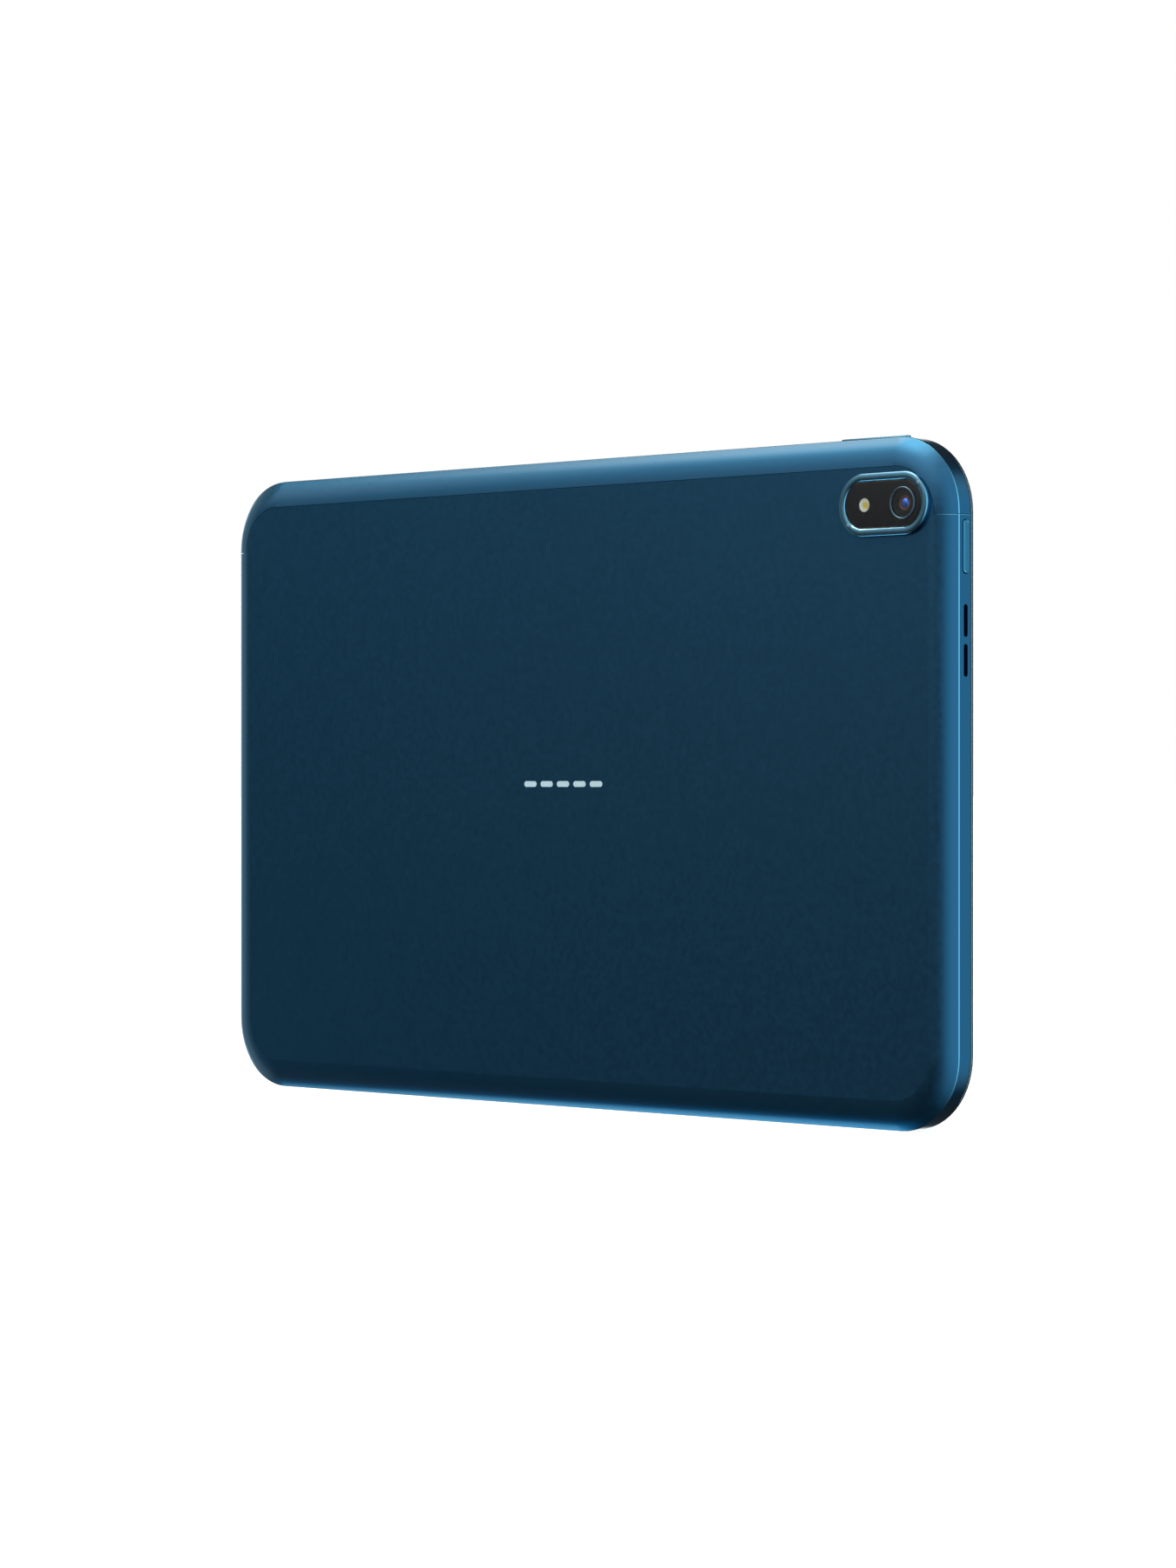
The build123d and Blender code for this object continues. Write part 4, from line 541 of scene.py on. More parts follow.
@dataclass
class Studio:
    """White floor, soft studio surroundings and the camera.

    The surroundings are white to the camera. Everything else sees the base light and the softboxes.
    """

    camera_place: Vector = field(default_factory=lambda: Vector((-0.76993, 0.76256, 0.07875)))
    camera_yaw: float = 45.1
    lens: float = 102.0
    floor_size: float = 40.0
    base_light: Colour = (0.052, 0.060, 0.062)
    softboxes: tuple[Softbox, ...] = (
        Softbox(38, 61, 12, 27, 6.2, (1.16, 1.06, 0.90)),
        Softbox(58, 31, 5, 34, 1.40),
        Softbox(75, 50, 5, 45, 0.7),
        Softbox(150, 4, 14, 72, 1.8, (0.58, 0.95, 1.06)),
        Softbox(222, 5, 20, 46, 1.25, (0.52, 0.95, 1.06)),
        Softbox(-40, 0, 10, 30, 1.6),
        Softbox(0, 0, 12, 40, 0.40, (0.6, 1.0, 1.0)),
        Softbox(30, -22, 8, 30, 0.10),
        Softbox(5, -52, 6, 15, 4.0, (0.35, 0.92, 1.15)),
    )

    def build_camera(self) -> None:
        """Makes the camera and hands it to the scene."""
        data = bpy.data.cameras.new("studio_camera")
        data.lens = self.lens
        data.sensor_width = 36.0
        data.clip_start = 0.01
        data.clip_end = 100.0
        camera = bpy.data.objects.new("studio_camera", data)
        bpy.context.scene.collection.objects.link(camera)
        camera.location = self.camera_place
        yaw = math.radians(self.camera_yaw)
        ahead = Vector((math.sin(yaw), -math.cos(yaw), 0.0))
        camera.rotation_mode = "QUATERNION"
        camera.rotation_quaternion = ahead.to_track_quat("-Z", "Y")
        bpy.context.scene.camera = camera

    def build_floor(self) -> None:
        """Makes the pale floor, which only the camera sees."""
        bpy.ops.object.select_all(action="DESELECT")
        bpy.ops.mesh.primitive_plane_add(size=self.floor_size)
        floor = bpy.context.active_object
        floor.name = "studio_floor"
        made = bpy.data.materials.new("floor_paper")
        made.use_nodes = True
        shader = made.node_tree.nodes["Principled BSDF"]
        shader.inputs["Base Color"].default_value = (0.55, 0.55, 0.55, 1.0)
        shader.inputs["Roughness"].default_value = 1.0
        shader.inputs["Specular IOR Level"].default_value = 0.0
        shader.inputs["Emission Color"].default_value = (1.0, 1.0, 1.0, 1.0)
        shader.inputs["Emission Strength"].default_value = 0.86
        floor.data.materials.append(made)
        floor.visible_glossy = False
        floor.visible_diffuse = False
        floor.visible_transmission = False

    def build_surroundings(self) -> None:
        """Lights the scene from all round, with each softbox placed by direction."""
        world = bpy.data.worlds.new("studio_world")
        bpy.context.scene.world = world
        world.use_nodes = True
        tree = world.node_tree
        tree.nodes.clear()
        desk = NodeDesk(tree)
        aim = desk.node("ShaderNodeTexCoord").outputs["Generated"]
        total: object = self.base_light
        for box in self.softboxes:
            facing = desk.node(
                "ShaderNodeVectorMath", {0: aim, 1: tuple(box.direction())}, operation="DOT_PRODUCT"
            ).outputs["Value"]
            fade = desk.node(
                "ShaderNodeMapRange",
                {0: facing, 1: math.cos(math.radians(box.outer)), 2: math.cos(math.radians(box.inner))},
                interpolation_type="SMOOTHSTEP",
            ).outputs[0]
            colour = desk.node("ShaderNodeVectorMath", {0: box.tint}, operation="SCALE")
            tree.links.new(desk.math("MULTIPLY", fade, box.strength), colour.inputs["Scale"])
            total = desk.vector("ADD", colour.outputs[0], total)
        seen = desk.node("ShaderNodeLightPath").outputs["Is Camera Ray"]
        lit = desk.node("ShaderNodeBackground", {"Color": total})
        white = desk.node("ShaderNodeBackground", {"Color": (1.0, 1.0, 1.0, 1.0), "Strength": 1.0})
        mix = desk.node("ShaderNodeMixShader", {0: seen, 1: lit.outputs[0], 2: white.outputs[0]})
        out = desk.node("ShaderNodeOutputWorld", {0: mix.outputs[0]})
        out.is_active_output = True
        bpy.context.scene.view_settings.view_transform = "Standard"

    def build(self) -> None:
        """Makes the whole studio."""
        self.build_camera()
        self.build_floor()
        self.build_surroundings()
        LOG.info("studio: camera, floor and %d softboxes", len(self.softboxes))


# ------------------------------------------------------------------ modelling
class Bench:
    """One piece on the modelling bench: a primitive shaped in edit mode and finished."""

    def __init__(self, name: str) -> None:
        """Clears the selection, so that only the new piece is worked on.

        Args:
            name: Name of the piece to be made.
        """
        self.name = name
        bpy.ops.object.select_all(action="DESELECT")
        self.piece: bpy.types.Object | None = None

    def circle(self, radius: float, at: Place, sides: int = 96, facing: Facing = Facing.REAR) -> "Bench":
        """Starts from a flat disc that looks one way.

        Args:
            radius: Its radius.
            at: Its middle.
            sides: Its corners.
            facing: Which way it looks.

        Returns:
            The bench.
        """
        bpy.ops.mesh.primitive_circle_add(
            vertices=sides, radius=radius, fill_type="NGON", location=at, rotation=facing.value
        )
        return self._started()

    def stadium(
        self, radius: float, half: Vector, at: Place, sides: int = 128, facing: Facing = Facing.REAR
    ) -> "Bench":
        """Starts from a flat stadium, made by parting a disc's two halves.

        Args:
            radius: Radius of its ends.
            half: From its middle to the middle of one end.
            at: Its middle.
            sides: Corners of the disc.
            facing: Which way it looks.

        Returns:
            The bench.
        """
        self.circle(radius, at, sides, facing)
        along, origin = half.normalized(), Vector(at)
        step = radius * 0.01
        self.pick(lambda co: (co - origin).dot(along) > step).move(tuple(half))
        self.pick(lambda co: (co - origin).dot(along) < -step).move(tuple(-half))
        return self.pick(lambda co: True, "FACE")

    def cube(self, size: Place, at: Place) -> "Bench":
        """Starts from a block of a size at a place."""
        bpy.ops.mesh.primitive_cube_add(size=1.0, location=at, scale=size)
        return self._started()

    def _started(self) -> "Bench":
        """Puts the new primitive's place into its mesh and opens it for shaping.

        Returns:
            The bench.
        """
        self.piece = bpy.context.active_object
        self.piece.name = self.name
        bpy.ops.object.transform_apply(location=True, rotation=True, scale=True)
        bpy.ops.object.mode_set(mode="EDIT")
        bpy.ops.mesh.select_all(action="SELECT")
        return self

    def pick(self, wanted: Callable[[Vector], bool], mode: str = "VERT") -> "Bench":
        """Selects the vertices, edges or faces whose middle is wanted.

        Args:
            wanted: Test of a middle point.
            mode: VERT, EDGE or FACE.

        Returns:
            The bench.
        """
        bpy.ops.mesh.select_mode(type=mode)
        bpy.ops.mesh.select_all(action="DESELECT")
        shape = bmesh.from_edit_mesh(self.piece.data)
        if mode == "VERT":
            for item in shape.verts:
                item.select_set(wanted(item.co))
        elif mode == "EDGE":
            for item in shape.edges:
                item.select_set(wanted((item.verts[0].co + item.verts[1].co) / 2))
        else:
            for item in shape.faces:
                item.select_set(wanted(item.calc_center_median()))
        shape.select_flush_mode()
        bmesh.update_edit_mesh(self.piece.data)
        return self

    def move(self, by: Place) -> "Bench":
        """Moves what is selected."""
        bpy.ops.transform.translate(value=by)
        return self

    def scale(self, by: Place, about: Place) -> "Bench":
        """Scales what is selected about a point."""
        bpy.ops.transform.resize(value=by, center_override=about)
        return self

    def extrude(self, by: Place) -> "Bench":
        """Extrudes the selected faces."""
        bpy.ops.mesh.extrude_region_move(TRANSFORM_OT_translate={"value": by})
        return self

    def inset(self, width: float, rise: float = 0.0) -> "Bench":
        """Insets the selected faces, lifting them along their normal."""
        bpy.ops.mesh.inset(thickness=width, depth=rise, use_even_offset=True)
        return self

    def steps(self, steps: Sequence[tuple[float, float]]) -> "Bench":
        """Insets the selected face through a run of (width, rise) steps."""
        for width, rise in steps:
            self.inset(width, rise)
        return self

    def drop_faces(self) -> "Bench":
        """Deletes the selected faces and leaves their edges."""
        bpy.ops.mesh.delete(type="ONLY_FACE")
        return self

    def bevel(self, width: float, segments: int = 3) -> "Bench":
        """Bevels the selected edges."""
        bpy.ops.mesh.bevel(offset=width, segments=segments, profile=0.5, affect="EDGES")
        return self

    def finish(self, angle: float = 35.0, recalculate: bool = True) -> bpy.types.Object:
        """Closes the mesh and smooths it.

        Args:
            angle: Edges sharper than this stay sharp, in degrees.
            recalculate: Turns the faces outwards.

        Returns:
            The finished piece.
        """
        bpy.ops.mesh.select_mode(type="VERT")
        bpy.ops.mesh.select_all(action="SELECT")
        bpy.ops.mesh.remove_doubles(threshold=0.0000005)
        if recalculate:
            bpy.ops.mesh.normals_make_consistent(inside=False)
        bpy.ops.object.mode_set(mode="OBJECT")
        bpy.ops.object.shade_smooth_by_angle(angle=math.radians(angle))
        self.piece.select_set(False)
        return self.piece

    def copy(self, name: str, shift: Place) -> bpy.types.Object:
        """Copies the finished piece with its own mesh.

        Args:
            name: Name of the copy.
            shift: How far its mesh is moved.

        Returns:
            The copy.
        """
        twin = self.piece.copy()
        twin.data = self.piece.data.copy()
        twin.name = name
        bpy.context.scene.collection.objects.link(twin)
        for vertex in twin.data.vertices:
            vertex.co += Vector(shift)
        return twin


def paint(piece: bpy.types.Object, material: bpy.types.Material) -> None:
    """Gives a piece one material."""
    piece.data.materials.clear()
    piece.data.materials.append(material)


def middle(node: str) -> Vector:
    """Middle of a CAD node's box."""
    low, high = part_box(node)
    return (Vector(low) + Vector(high)) / 2


@dataclass
class SubAssembly:
    """A group of pieces that are dressed and modelled together.

    Attributes:
        materials: Every material, by the key of its finish.
    """

    materials: dict[str, bpy.types.Material]
    dressing: ClassVar[dict[str, tuple[str, ...]]] = {}

    def dress(self) -> None:
        """Paints the CAD nodes of this group."""
        for finish, nodes in self.dressing.items():
            for node in nodes:
                paint(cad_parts[node], self.materials[finish])
                LOG.info("%s: CAD node, %s", node, finish)

    def add(self, piece: bpy.types.Object, finish: str, body: str, *nodes: str) -> None:
        """Paints a modelled piece, sets what it rides on and which CAD nodes it stands for.

        Args:
            piece: The modelled piece.
            finish: Key of its material.
            body: The CAD body it moves with.
            *nodes: CAD nodes that it replaces.
        """
        paint(piece, self.materials[finish])
        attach(piece, body)
        if nodes:
            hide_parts(*nodes)
        LOG.info("%s: %d faces, %s, on %s", piece.name, len(piece.data.polygons), finish, body)

    def build(self) -> None:
        """Models the new pieces; groups without any leave this as it is."""


@dataclass
class Shell(SubAssembly):
    """The anodised rear cover, the painted cap over the antennas and the inlaid badge."""

    dressing: ClassVar[dict[str, tuple[str, ...]]] = {
        "body": ("rear_cover",),
        "cap": ("antenna_cap",),
        "badge": ("rear_badge",),
    }


@dataclass
class FrontStack(SubAssembly):
    """Everything from the front glass to the plate behind the screen."""

    dressing: ClassVar[dict[str, tuple[str, ...]]] = {
        "glass": ("front_glass", "front_camera_lens"),
        "print": ("screen_border",),
        "screen": ("screen_cell", "light_sensor"),
        "frame": ("mid_frame",),
        "white": ("backlight",),
        "steel": ("mid_plate",),
        "moulding": ("bezel_tape", "front_camera"),
        "flex": ("display_flex",),
    }


@dataclass
class Insides(SubAssembly):
    """Boards, battery, speakers and the other pieces that the shell hides."""

    dressing: ClassVar[dict[str, tuple[str, ...]]] = {
        "board": ("main_board", "socket_board", "battery_board"),
        "cream": ("board_connectors",),
        "foil": ("battery_cells",),
        "gold": ("antennas", "reader_contacts"),
        "flex": ("power_flex", "volume_flex", "camera_flex", "battery_flex", "socket_flex"),
        "steel": (
            "shields", "power_bracket", "volume_bracket", "microphone", "board_screws", "speaker_drivers",
        ),
        "moulding": (
            "processor", "support_chips", "battery_tape", "heat_spreader", "card_reader", "key_switches",
            "power_plunger", "volume_plungers", "speaker_cones", "speaker_box_left", "speaker_box_right",
        ),
        "mesh": ("speaker_meshes",),
    }


@dataclass
class SideKeys(SubAssembly):
    """The power key on the short side, the volume rocker on the upper edge and the card door."""

    key_width: float = 1.9 * MM
    power_length: float = 12.2 * MM
    power_proud: float = 0.3 * MM
    rocker_length: float = 20.4 * MM
    rocker_proud: float = 0.45 * MM
    sunk: float = 1.2 * MM
    dressing: ClassVar[dict[str, tuple[str, ...]]] = {"key": ("power_button", "volume_rocker", "card_tray")}

    def crown(self, bench: Bench, up: Vector, height: float) -> bpy.types.Object:
        """Raises a key from its outline and rounds its top.

        Args:
            bench: The bench with the outline selected.
            up: The way out of the side.
            height: From the outline to the top of the key.

        Returns:
            The finished key.
        """
        bench.extrude(tuple(up * (height - 0.17 * MM)))
        bench.steps(
            (
                (0.02 * MM, 0.06 * MM), (0.04 * MM, 0.05 * MM), (0.06 * MM, 0.035 * MM),
                (0.10 * MM, 0.025 * MM), (0.18 * MM, 0.0), (0.12 * MM, -0.012 * MM), (0.15 * MM, -0.008 * MM),
            )
        )
        return bench.finish(50.0)

    def build(self) -> None:
        """Models both keys."""
        radius = self.key_width / 2
        low, high = (Vector(v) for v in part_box("power_button"))
        at = (low.x + self.power_proud + self.sunk, depth_y(4.85 * MM), (low.z + high.z) / 2)
        bench = Bench("power_key_cap")
        bench.stadium(radius, Vector((0, 0, self.power_length / 2 - radius)), at, 48, Facing.LEFT)
        key = self.crown(bench, Vector((-1, 0, 0)), self.power_proud + self.sunk)
        # The keys' finish paints a highlight colour along their sharp edges.
        self.add(key, "worn_key", "power_key", "power_button")
        low, high = (Vector(v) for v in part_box("volume_rocker"))
        at = ((low.x + high.x) / 2, depth_y(4.85 * MM), high.z - self.rocker_proud - self.sunk)
        bench = Bench("volume_key_cap")
        bench.stadium(radius, Vector((self.rocker_length / 2 - radius, 0, 0)), at, 48, Facing.UP)
        key = self.crown(bench, Vector((0, 0, 1)), self.rocker_proud + self.sunk)
        self.add(key, "worn_key", "volume_key", "volume_rocker")


@dataclass
class Socket(SubAssembly):
    """The charging socket's shell, and its tongue with two rows of contacts."""

    contacts: int = 12
    pitch: float = 0.5 * MM
    contact_size: Place = (3.6 * MM, 0.04 * MM, 0.25 * MM)
    dressing: ClassVar[dict[str, tuple[str, ...]]] = {"steel": ("usb_shell",), "moulding": ("usb_tongue",)}

    def build(self) -> None:
        """Models one contact and copies it along both faces of the tongue."""
        low, high = (Vector(v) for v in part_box("usb_tongue"))
        mid = (low + high) / 2
        reach = self.contact_size[0]
        tip = high.x - 0.35 * MM
        face = 0.35 * MM
        first = mid.z - (self.contacts - 1) / 2 * self.pitch
        bench = Bench("tongue_contact_0")
        bench.cube(self.contact_size, (tip - reach / 2, mid.y + face, first))
        bench.pick(lambda co: co.x > tip - 0.01 * MM, "FACE").scale((1.0, 1.0, 0.5), (tip, mid.y + face, first))
        bench.pick(lambda co: co.y > mid.y + face, "EDGE").bevel(0.012 * MM, 2)
        bench.finish(30.0)
        pieces = [bench.piece]
        for row, shift_y in enumerate((0.0, -2 * face)):
            for place in range(self.contacts):
                if row == place == 0:
                    continue
                name = f"tongue_contact_{row * self.contacts + place}"
                pieces.append(bench.copy(name, (0.0, shift_y, place * self.pitch)))
        for piece in pieces:
            self.add(piece, "gold", "body")


@dataclass
class CameraIsland(SubAssembly):
    """The raised stadium that holds the camera and the flash."""

    height: float = 1.1 * MM
    half_width: float = 7.2 * MM
    end_offset: float = 6.1 * MM
    lens_offset: float = 5.85 * MM
    window_half: float = 5.4 * MM
    window_recess: float = 0.12 * MM
    window_thickness: float = 0.5 * MM
    trim_radius: float = 3.72 * MM
    flash_radius: float = 1.55 * MM
    print_gap: float = 0.03 * MM
    dressing: ClassVar[dict[str, tuple[str, ...]]] = {
        "ring": ("camera_ring",),
        "window": ("camera_window",),
        "print": ("window_print",),
        "trim": ("lens_trim",),
        "flash": ("flash_lens",),
        "phosphor": ("flash_led",),
        "moulding": ("camera_body",),
        "screen": ("image_sensor",),
    }

    def __post_init__(self) -> None:
        """Reads the island's middle from the frame."""
        self.centre = middle("camera_ring")
        self.face = THICKNESS / 2
        self.lens_at = Vector((self.centre.x - self.lens_offset, 0.0, self.centre.z))
        self.flash_at = Vector((self.centre.x + self.lens_offset, 0.0, self.centre.z))

    def at(self, place: Vector, y: float) -> Place:
        """A place on the island at a height."""
        return (place.x, y, place.z)

    def outline(self, name: str, radius: float, y: float) -> Bench:
        """Starts a stadium round the island's middle."""
        return Bench(name).stadium(radius, Vector((self.end_offset, 0, 0)), self.at(self.centre, y))

    def build_ring(self) -> None:
        """The polished ring: bevelled outer edge, softly crowned face, bright inner chamfer; its finish paints a
        highlight on the edges.
        """
        bench = self.outline("island_ring", self.half_width, self.face)
        bench.extrude((0.0, self.height - 0.36 * MM, 0.0))
        bench.steps(
            (
                (0.03 * MM, 0.10 * MM), (0.06 * MM, 0.09 * MM), (0.10 * MM, 0.075 * MM),
                (0.14 * MM, 0.05 * MM), (0.20 * MM, 0.03 * MM), (0.25 * MM, 0.015 * MM),
                (0.30 * MM, 0.0), (0.25 * MM, -0.015 * MM), (0.20 * MM, -0.025 * MM),
                (0.03 * MM, -0.01 * MM), (0.10 * MM, -0.09 * MM), (0.11 * MM, -0.10 * MM),
            )
        )
        bench.inset(0.03 * MM, -0.6 * MM)
        bench.inset(0.9 * MM, 0.0).drop_faces()
        bench.pick(lambda co: co.y < self.face + 0.01 * MM, "FACE").drop_faces()
        self.add(bench.finish(40.0), "worn_ring", "body", "camera_ring")

    def build_window(self) -> None:
        """The cover glass, with a rounded edge and a slight crown."""
        y = self.face + self.height - self.window_recess - self.window_thickness + self.print_gap
        bench = self.outline("island_glass", self.window_half - 0.02 * MM, y)
        bench.extrude((0.0, self.window_thickness - 0.13 * MM, 0.0))
        bench.steps(
            (
                (0.02 * MM, 0.03 * MM), (0.05 * MM, 0.02 * MM), (0.4 * MM, 0.016 * MM), (0.7 * MM, 0.014 * MM),
                (0.9 * MM, 0.011 * MM), (1.1 * MM, 0.007 * MM), (1.2 * MM, 0.002 * MM),
            )
        )
        self.add(bench.finish(50.0), "window", "body", "camera_window")

    def build_trim(self) -> None:
        """The thin turned ring round the lens."""
        top = self.face + self.height - self.window_recess + 0.06 * MM
        bench = Bench("lens_ring").circle(self.trim_radius, self.at(self.lens_at, top - 0.2 * MM), 96)
        bench.extrude((0.0, 0.14 * MM, 0.0))
        bench.steps(
            (
                (0.03 * MM, 0.03 * MM), (0.05 * MM, 0.025 * MM), (0.14 * MM, 0.005 * MM),
                (0.12 * MM, -0.01 * MM), (0.08 * MM, -0.05 * MM),
            )
        )
        bench.inset(0.01 * MM, -0.14 * MM).drop_faces()
        bench.pick(lambda co: co.y < top - 0.19 * MM, "FACE").drop_faces()
        self.add(bench.finish(30.0), "trim", "body", "lens_trim")

    def build_flash(self) -> None:
        """The flash: a white cup, a phosphor cross in it and a moulded lens with rings of prisms; cup and cross
        emit painted light.
        """
        glass_back = self.face + self.height - self.window_recess - self.window_thickness
        radius = self.flash_radius
        bench = Bench("flash_prisms").circle(radius, self.at(self.flash_at, glass_back - 0.26 * MM), 64)
        bench.extrude((0.0, 0.20 * MM, 0.0))
        bench.inset(0.05 * MM, 0.03 * MM)
        for _ in range(4):
            bench.inset(0.10 * MM, -0.04 * MM)
            bench.inset(0.03 * MM, 0.04 * MM)
        bench.inset(0.25 * MM, -0.03 * MM)
        self.add(bench.finish(25.0), "flash", "body", "flash_lens")
        cup_top = glass_back - 0.28 * MM
        bench = Bench("flash_cup").circle(radius, self.at(self.flash_at, cup_top - 0.55 * MM), 64)
        bench.extrude((0.0, 0.55 * MM, 0.0))
        bench.steps(((0.15 * MM, 0.0), (0.30 * MM, -0.28 * MM), (0.12 * MM, -0.02 * MM)))
        self.add(bench.finish(30.0), "ceramic", "body", "flash_led")
        at = self.at(self.flash_at, cup_top - 0.20 * MM)
        arm, width = 0.48 * MM, 0.42 * MM
        bench = Bench("flash_cross").cube((width, 0.2 * MM, width), at)
        for step in (Vector((arm, 0, 0)), Vector((-arm, 0, 0)), Vector((0, 0, arm)), Vector((0, 0, -arm))):
            way, middle_at = step.normalized(), Vector(at)
            bench.pick(lambda co, w=way, m=middle_at: (co - m).dot(w) > width * 0.45, "FACE").extrude(tuple(step))
        bench.pick(lambda co: co.y > at[1] + 0.09 * MM, "EDGE").bevel(0.05 * MM, 3)
        self.add(bench.finish(40.0), "phosphor", "body")

    def build(self) -> None:
        """Models ring, glass, lens trim and flash."""
        self.build_ring()
        self.build_window()
        self.build_trim()
        self.build_flash()


@dataclass
class LensStack(SubAssembly):
    """The moving barrel of the camera with its coated front element."""

    radius: float = 2.7 * MM
    opening: float = 1.15 * MM
    dressing: ClassVar[dict[str, tuple[str, ...]]] = {"hood": ("lens_barrel",), "lens": ("lens_elements",)}

    def build_barrel(self) -> None:
        """The black barrel, its front stepped down to the opening in fine baffles."""
        low, high = (Vector(v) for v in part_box("lens_barrel"))
        x, z = (low.x + high.x) / 2, (low.z + high.z) / 2
        bench = Bench("barrel_shell").circle(self.radius, (x, low.y, z), 96)
        bench.extrude((0.0, high.y - low.y - 0.06 * MM, 0.0))
        bench.steps(
            (
                (0.06 * MM, 0.06 * MM), (0.34 * MM, 0.0), (0.04 * MM, -0.10 * MM), (0.22 * MM, 0.0),
                (0.04 * MM, -0.08 * MM), (0.20 * MM, 0.0), (0.04 * MM, -0.06 * MM),
            )
        )
        bench.inset(self.radius - self.opening - 0.98 * MM, -0.04 * MM)
        bench.inset(0.02 * MM, -0.12 * MM)
        self.add(bench.finish(30.0), "hood", "lens", "lens_barrel")
        bench = Bench("inner_baffle").circle(self.opening + 0.55 * MM, (x, high.y - 0.28 * MM, z), 72)
        bench.extrude((0.0, 0.06 * MM, 0.0))
        bench.steps(((0.05 * MM, 0.03 * MM), (0.30 * MM, -0.05 * MM), (0.18 * MM, -0.05 * MM)))
        self.add(bench.finish(50.0), "bronze", "lens")

    def build_elements(self) -> None:
        """The domed, coated front element and the dark pupil inside it."""
        low, high = (Vector(v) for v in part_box("lens_elements"))
        x, z = (low.x + high.x) / 2, (low.z + high.z) / 2
        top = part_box("lens_barrel")[1][1] - 0.31 * MM
        bench = Bench("coated_front_element").circle(self.opening, (x, top - 0.1 * MM, z), 64)
        bench.extrude((0.0, 0.10 * MM, 0.0))
        for width, rise in ((0.12, 0.075), (0.16, 0.06), (0.2, 0.045), (0.22, 0.02), (0.2, 0.005)):
            bench.inset(width * MM, rise * MM)
        self.add(bench.finish(60.0), "lens", "lens", "lens_elements")

    def build(self) -> None:
        """Models barrel and element."""
        self.build_barrel()
        self.build_elements()


# ------------------------------------------------------------------ the tablet
ANODISED = dict(
    metallic=1.0, grain_scale=5000.0, grain_height=0.0000007, smudge=0.2, mottle_scale=700.0,
    lacquer=1.0, coat_roughness=0.12, edge_tint=(0.15, 0.50, 0.85),
)
LENS_AT = middle("lens_barrel")
LENS_XZ = (LENS_AT.x, LENS_AT.z)

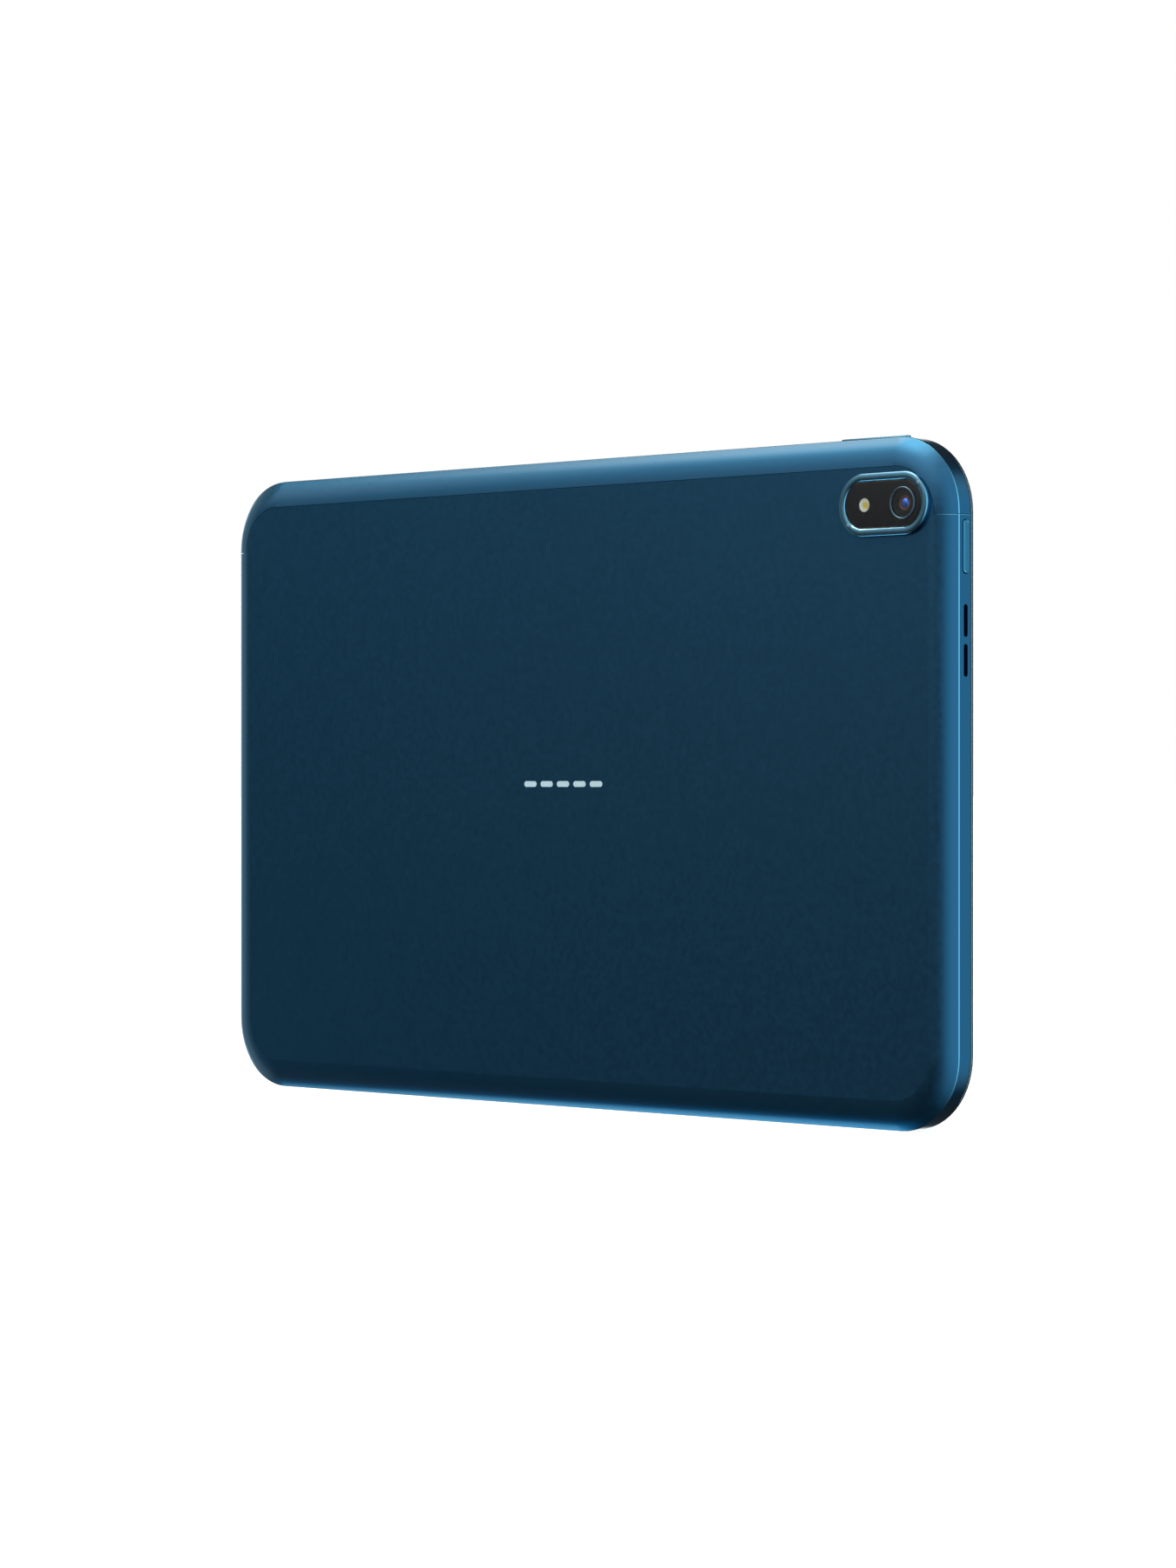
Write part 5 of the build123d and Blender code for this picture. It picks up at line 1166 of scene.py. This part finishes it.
FINISHES: dict[str, Finish] = {
    # Rear cover and cap: painted highlight lines along the band's edges and at the cap's foot.
    "body": HighlightLineMetal("anodised_body", (0.027, 0.097, 0.178), (0.026, 0.093, 0.171), 0.34, **ANODISED),
    "cap": HighlightLineMetal("cap_paint", (0.027, 0.097, 0.178), (0.026, 0.093, 0.171), 0.35, **ANODISED),
    "ring": Finish("ring_metal", (0.050, 0.170, 0.270), (0.046, 0.160, 0.255), 0.24, **ANODISED),
    # Painted highlight: a pale colour along the ring's sharp edges.
    "worn_ring": EdgeHighlightMetal("glossy_ring_with_highlight", (0.110, 0.250, 0.350), (0.100, 0.235, 0.330), 0.24, **ANODISED),
    "key": Finish("key_metal", (0.040, 0.150, 0.240), (0.036, 0.140, 0.225), 0.24, **ANODISED),
    # Painted highlight: a pale colour along the key's sharp edges.
    "worn_key": EdgeHighlightMetal("glossy_key_with_highlight", (0.040, 0.140, 0.230), (0.036, 0.132, 0.218), 0.22, **ANODISED),
    "frame": Finish("frame_moulding", (0.012, 0.016, 0.018), (0.009, 0.012, 0.014), 0.42),
    "glass": ClearFinish(
        "front_glass", (0.42, 0.54, 0.62), (0.40, 0.52, 0.60), 0.02, grain_height=0.0, specular=0.34
    ),
    "print": Finish(
        "black_print", (0.004, 0.005, 0.006), (0.003, 0.004, 0.005), 0.35, specular=0.0, grain_height=0.0000002
    ),
    "screen": Finish(
        "dark_screen", (0.006, 0.007, 0.009), (0.005, 0.006, 0.008), 0.5, specular=0.05, grain_height=0.0000002
    ),
    "moulding": Finish("black_moulding", (0.010, 0.010, 0.011), (0.007, 0.007, 0.008), 0.5),
    "hood": TurnedFinish(
        "lens_hood", (0.006, 0.005, 0.005), (0.003, 0.003, 0.003), 0.5, specular=0.15, centre=LENS_XZ
    ),
    "bronze": TurnedFinish(
        "bronze_baffle", (0.16, 0.070, 0.045), (0.10, 0.045, 0.030), 0.32, metallic=0.8, centre=LENS_XZ
    ),
    "lens": Finish(
        "coated_lens", (0.05, 0.19, 0.85), (0.04, 0.15, 0.72), 0.12, metallic=0.85, grain_height=0.0, coat=1.0,
        coat_roughness=0.03,
    ),
    "window": ClearFinish("window_glass", (0.90, 0.91, 0.92), (0.88, 0.89, 0.90), 0.02, grain_height=0.0, ior=1.36),
    "trim": TurnedFinish(
        "turned_trim", (0.10, 0.17, 0.23), (0.09, 0.15, 0.21), 0.3, metallic=1.0, centre=LENS_XZ
    ),
    "flash": ClearFinish("flash_moulding", (0.97, 0.96, 0.93), (0.95, 0.94, 0.91), 0.12, ior=1.42),
    # Cup and phosphor glow with painted light; the flash is not lit.
    "ceramic": Finish("white_ceramic", (0.86, 0.85, 0.80), (0.82, 0.81, 0.76), 0.45, painted_glow=0.30),
    "phosphor": Finish("phosphor", (0.88, 0.66, 0.07), (0.82, 0.58, 0.05), 0.6, painted_glow=0.30),
    "mesh": WovenFinish("woven_mesh", (0.030, 0.060, 0.10), (0.022, 0.045, 0.08), 0.4, metallic=1.0),
    "steel": BrushedMetal("brushed_steel", (0.50, 0.51, 0.52), (0.44, 0.45, 0.46), 0.3, metallic=1.0),
    "badge": BrushedMetal("bright_inlay", (0.66, 0.76, 0.83), (0.62, 0.72, 0.80), 0.34, metallic=0.35),
    "gold": Finish("plated_contact", (0.80, 0.58, 0.25), (0.72, 0.50, 0.20), 0.3, metallic=1.0),
    "board": Finish("solder_mask", (0.006, 0.035, 0.045), (0.005, 0.028, 0.038), 0.35),
    "flex": Finish("polyimide_film", (0.32, 0.13, 0.025), (0.26, 0.10, 0.02), 0.35),
    "foil": Finish("pouch_foil", (0.05, 0.05, 0.055), (0.04, 0.04, 0.045), 0.35),
    "cream": Finish("cream_moulding", (0.55, 0.52, 0.44), (0.50, 0.47, 0.40), 0.5),
    "white": Finish("reflector_sheet", (0.75, 0.76, 0.76), (0.70, 0.71, 0.71), 0.6),
}

ASSEMBLIES: tuple[type[SubAssembly], ...] = (
    Shell, FrontStack, Insides, SideKeys, Socket, CameraIsland, LensStack,
)


def main() -> None:
    """Builds the studio, dresses the CAD nodes and models the detailed pieces."""
    logging.basicConfig(level=logging.INFO, format="%(name)s: %(message)s")
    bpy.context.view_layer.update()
    Studio().build()
    groups = SurfaceGroups()
    materials = {key: finish.material(groups) for key, finish in FINISHES.items()}
    for kind in ASSEMBLIES:
        group = kind(materials)
        group.dress()
        group.build()
        LOG.info("%s: done", kind.__name__)


if __name__ == "__main__":
    main()
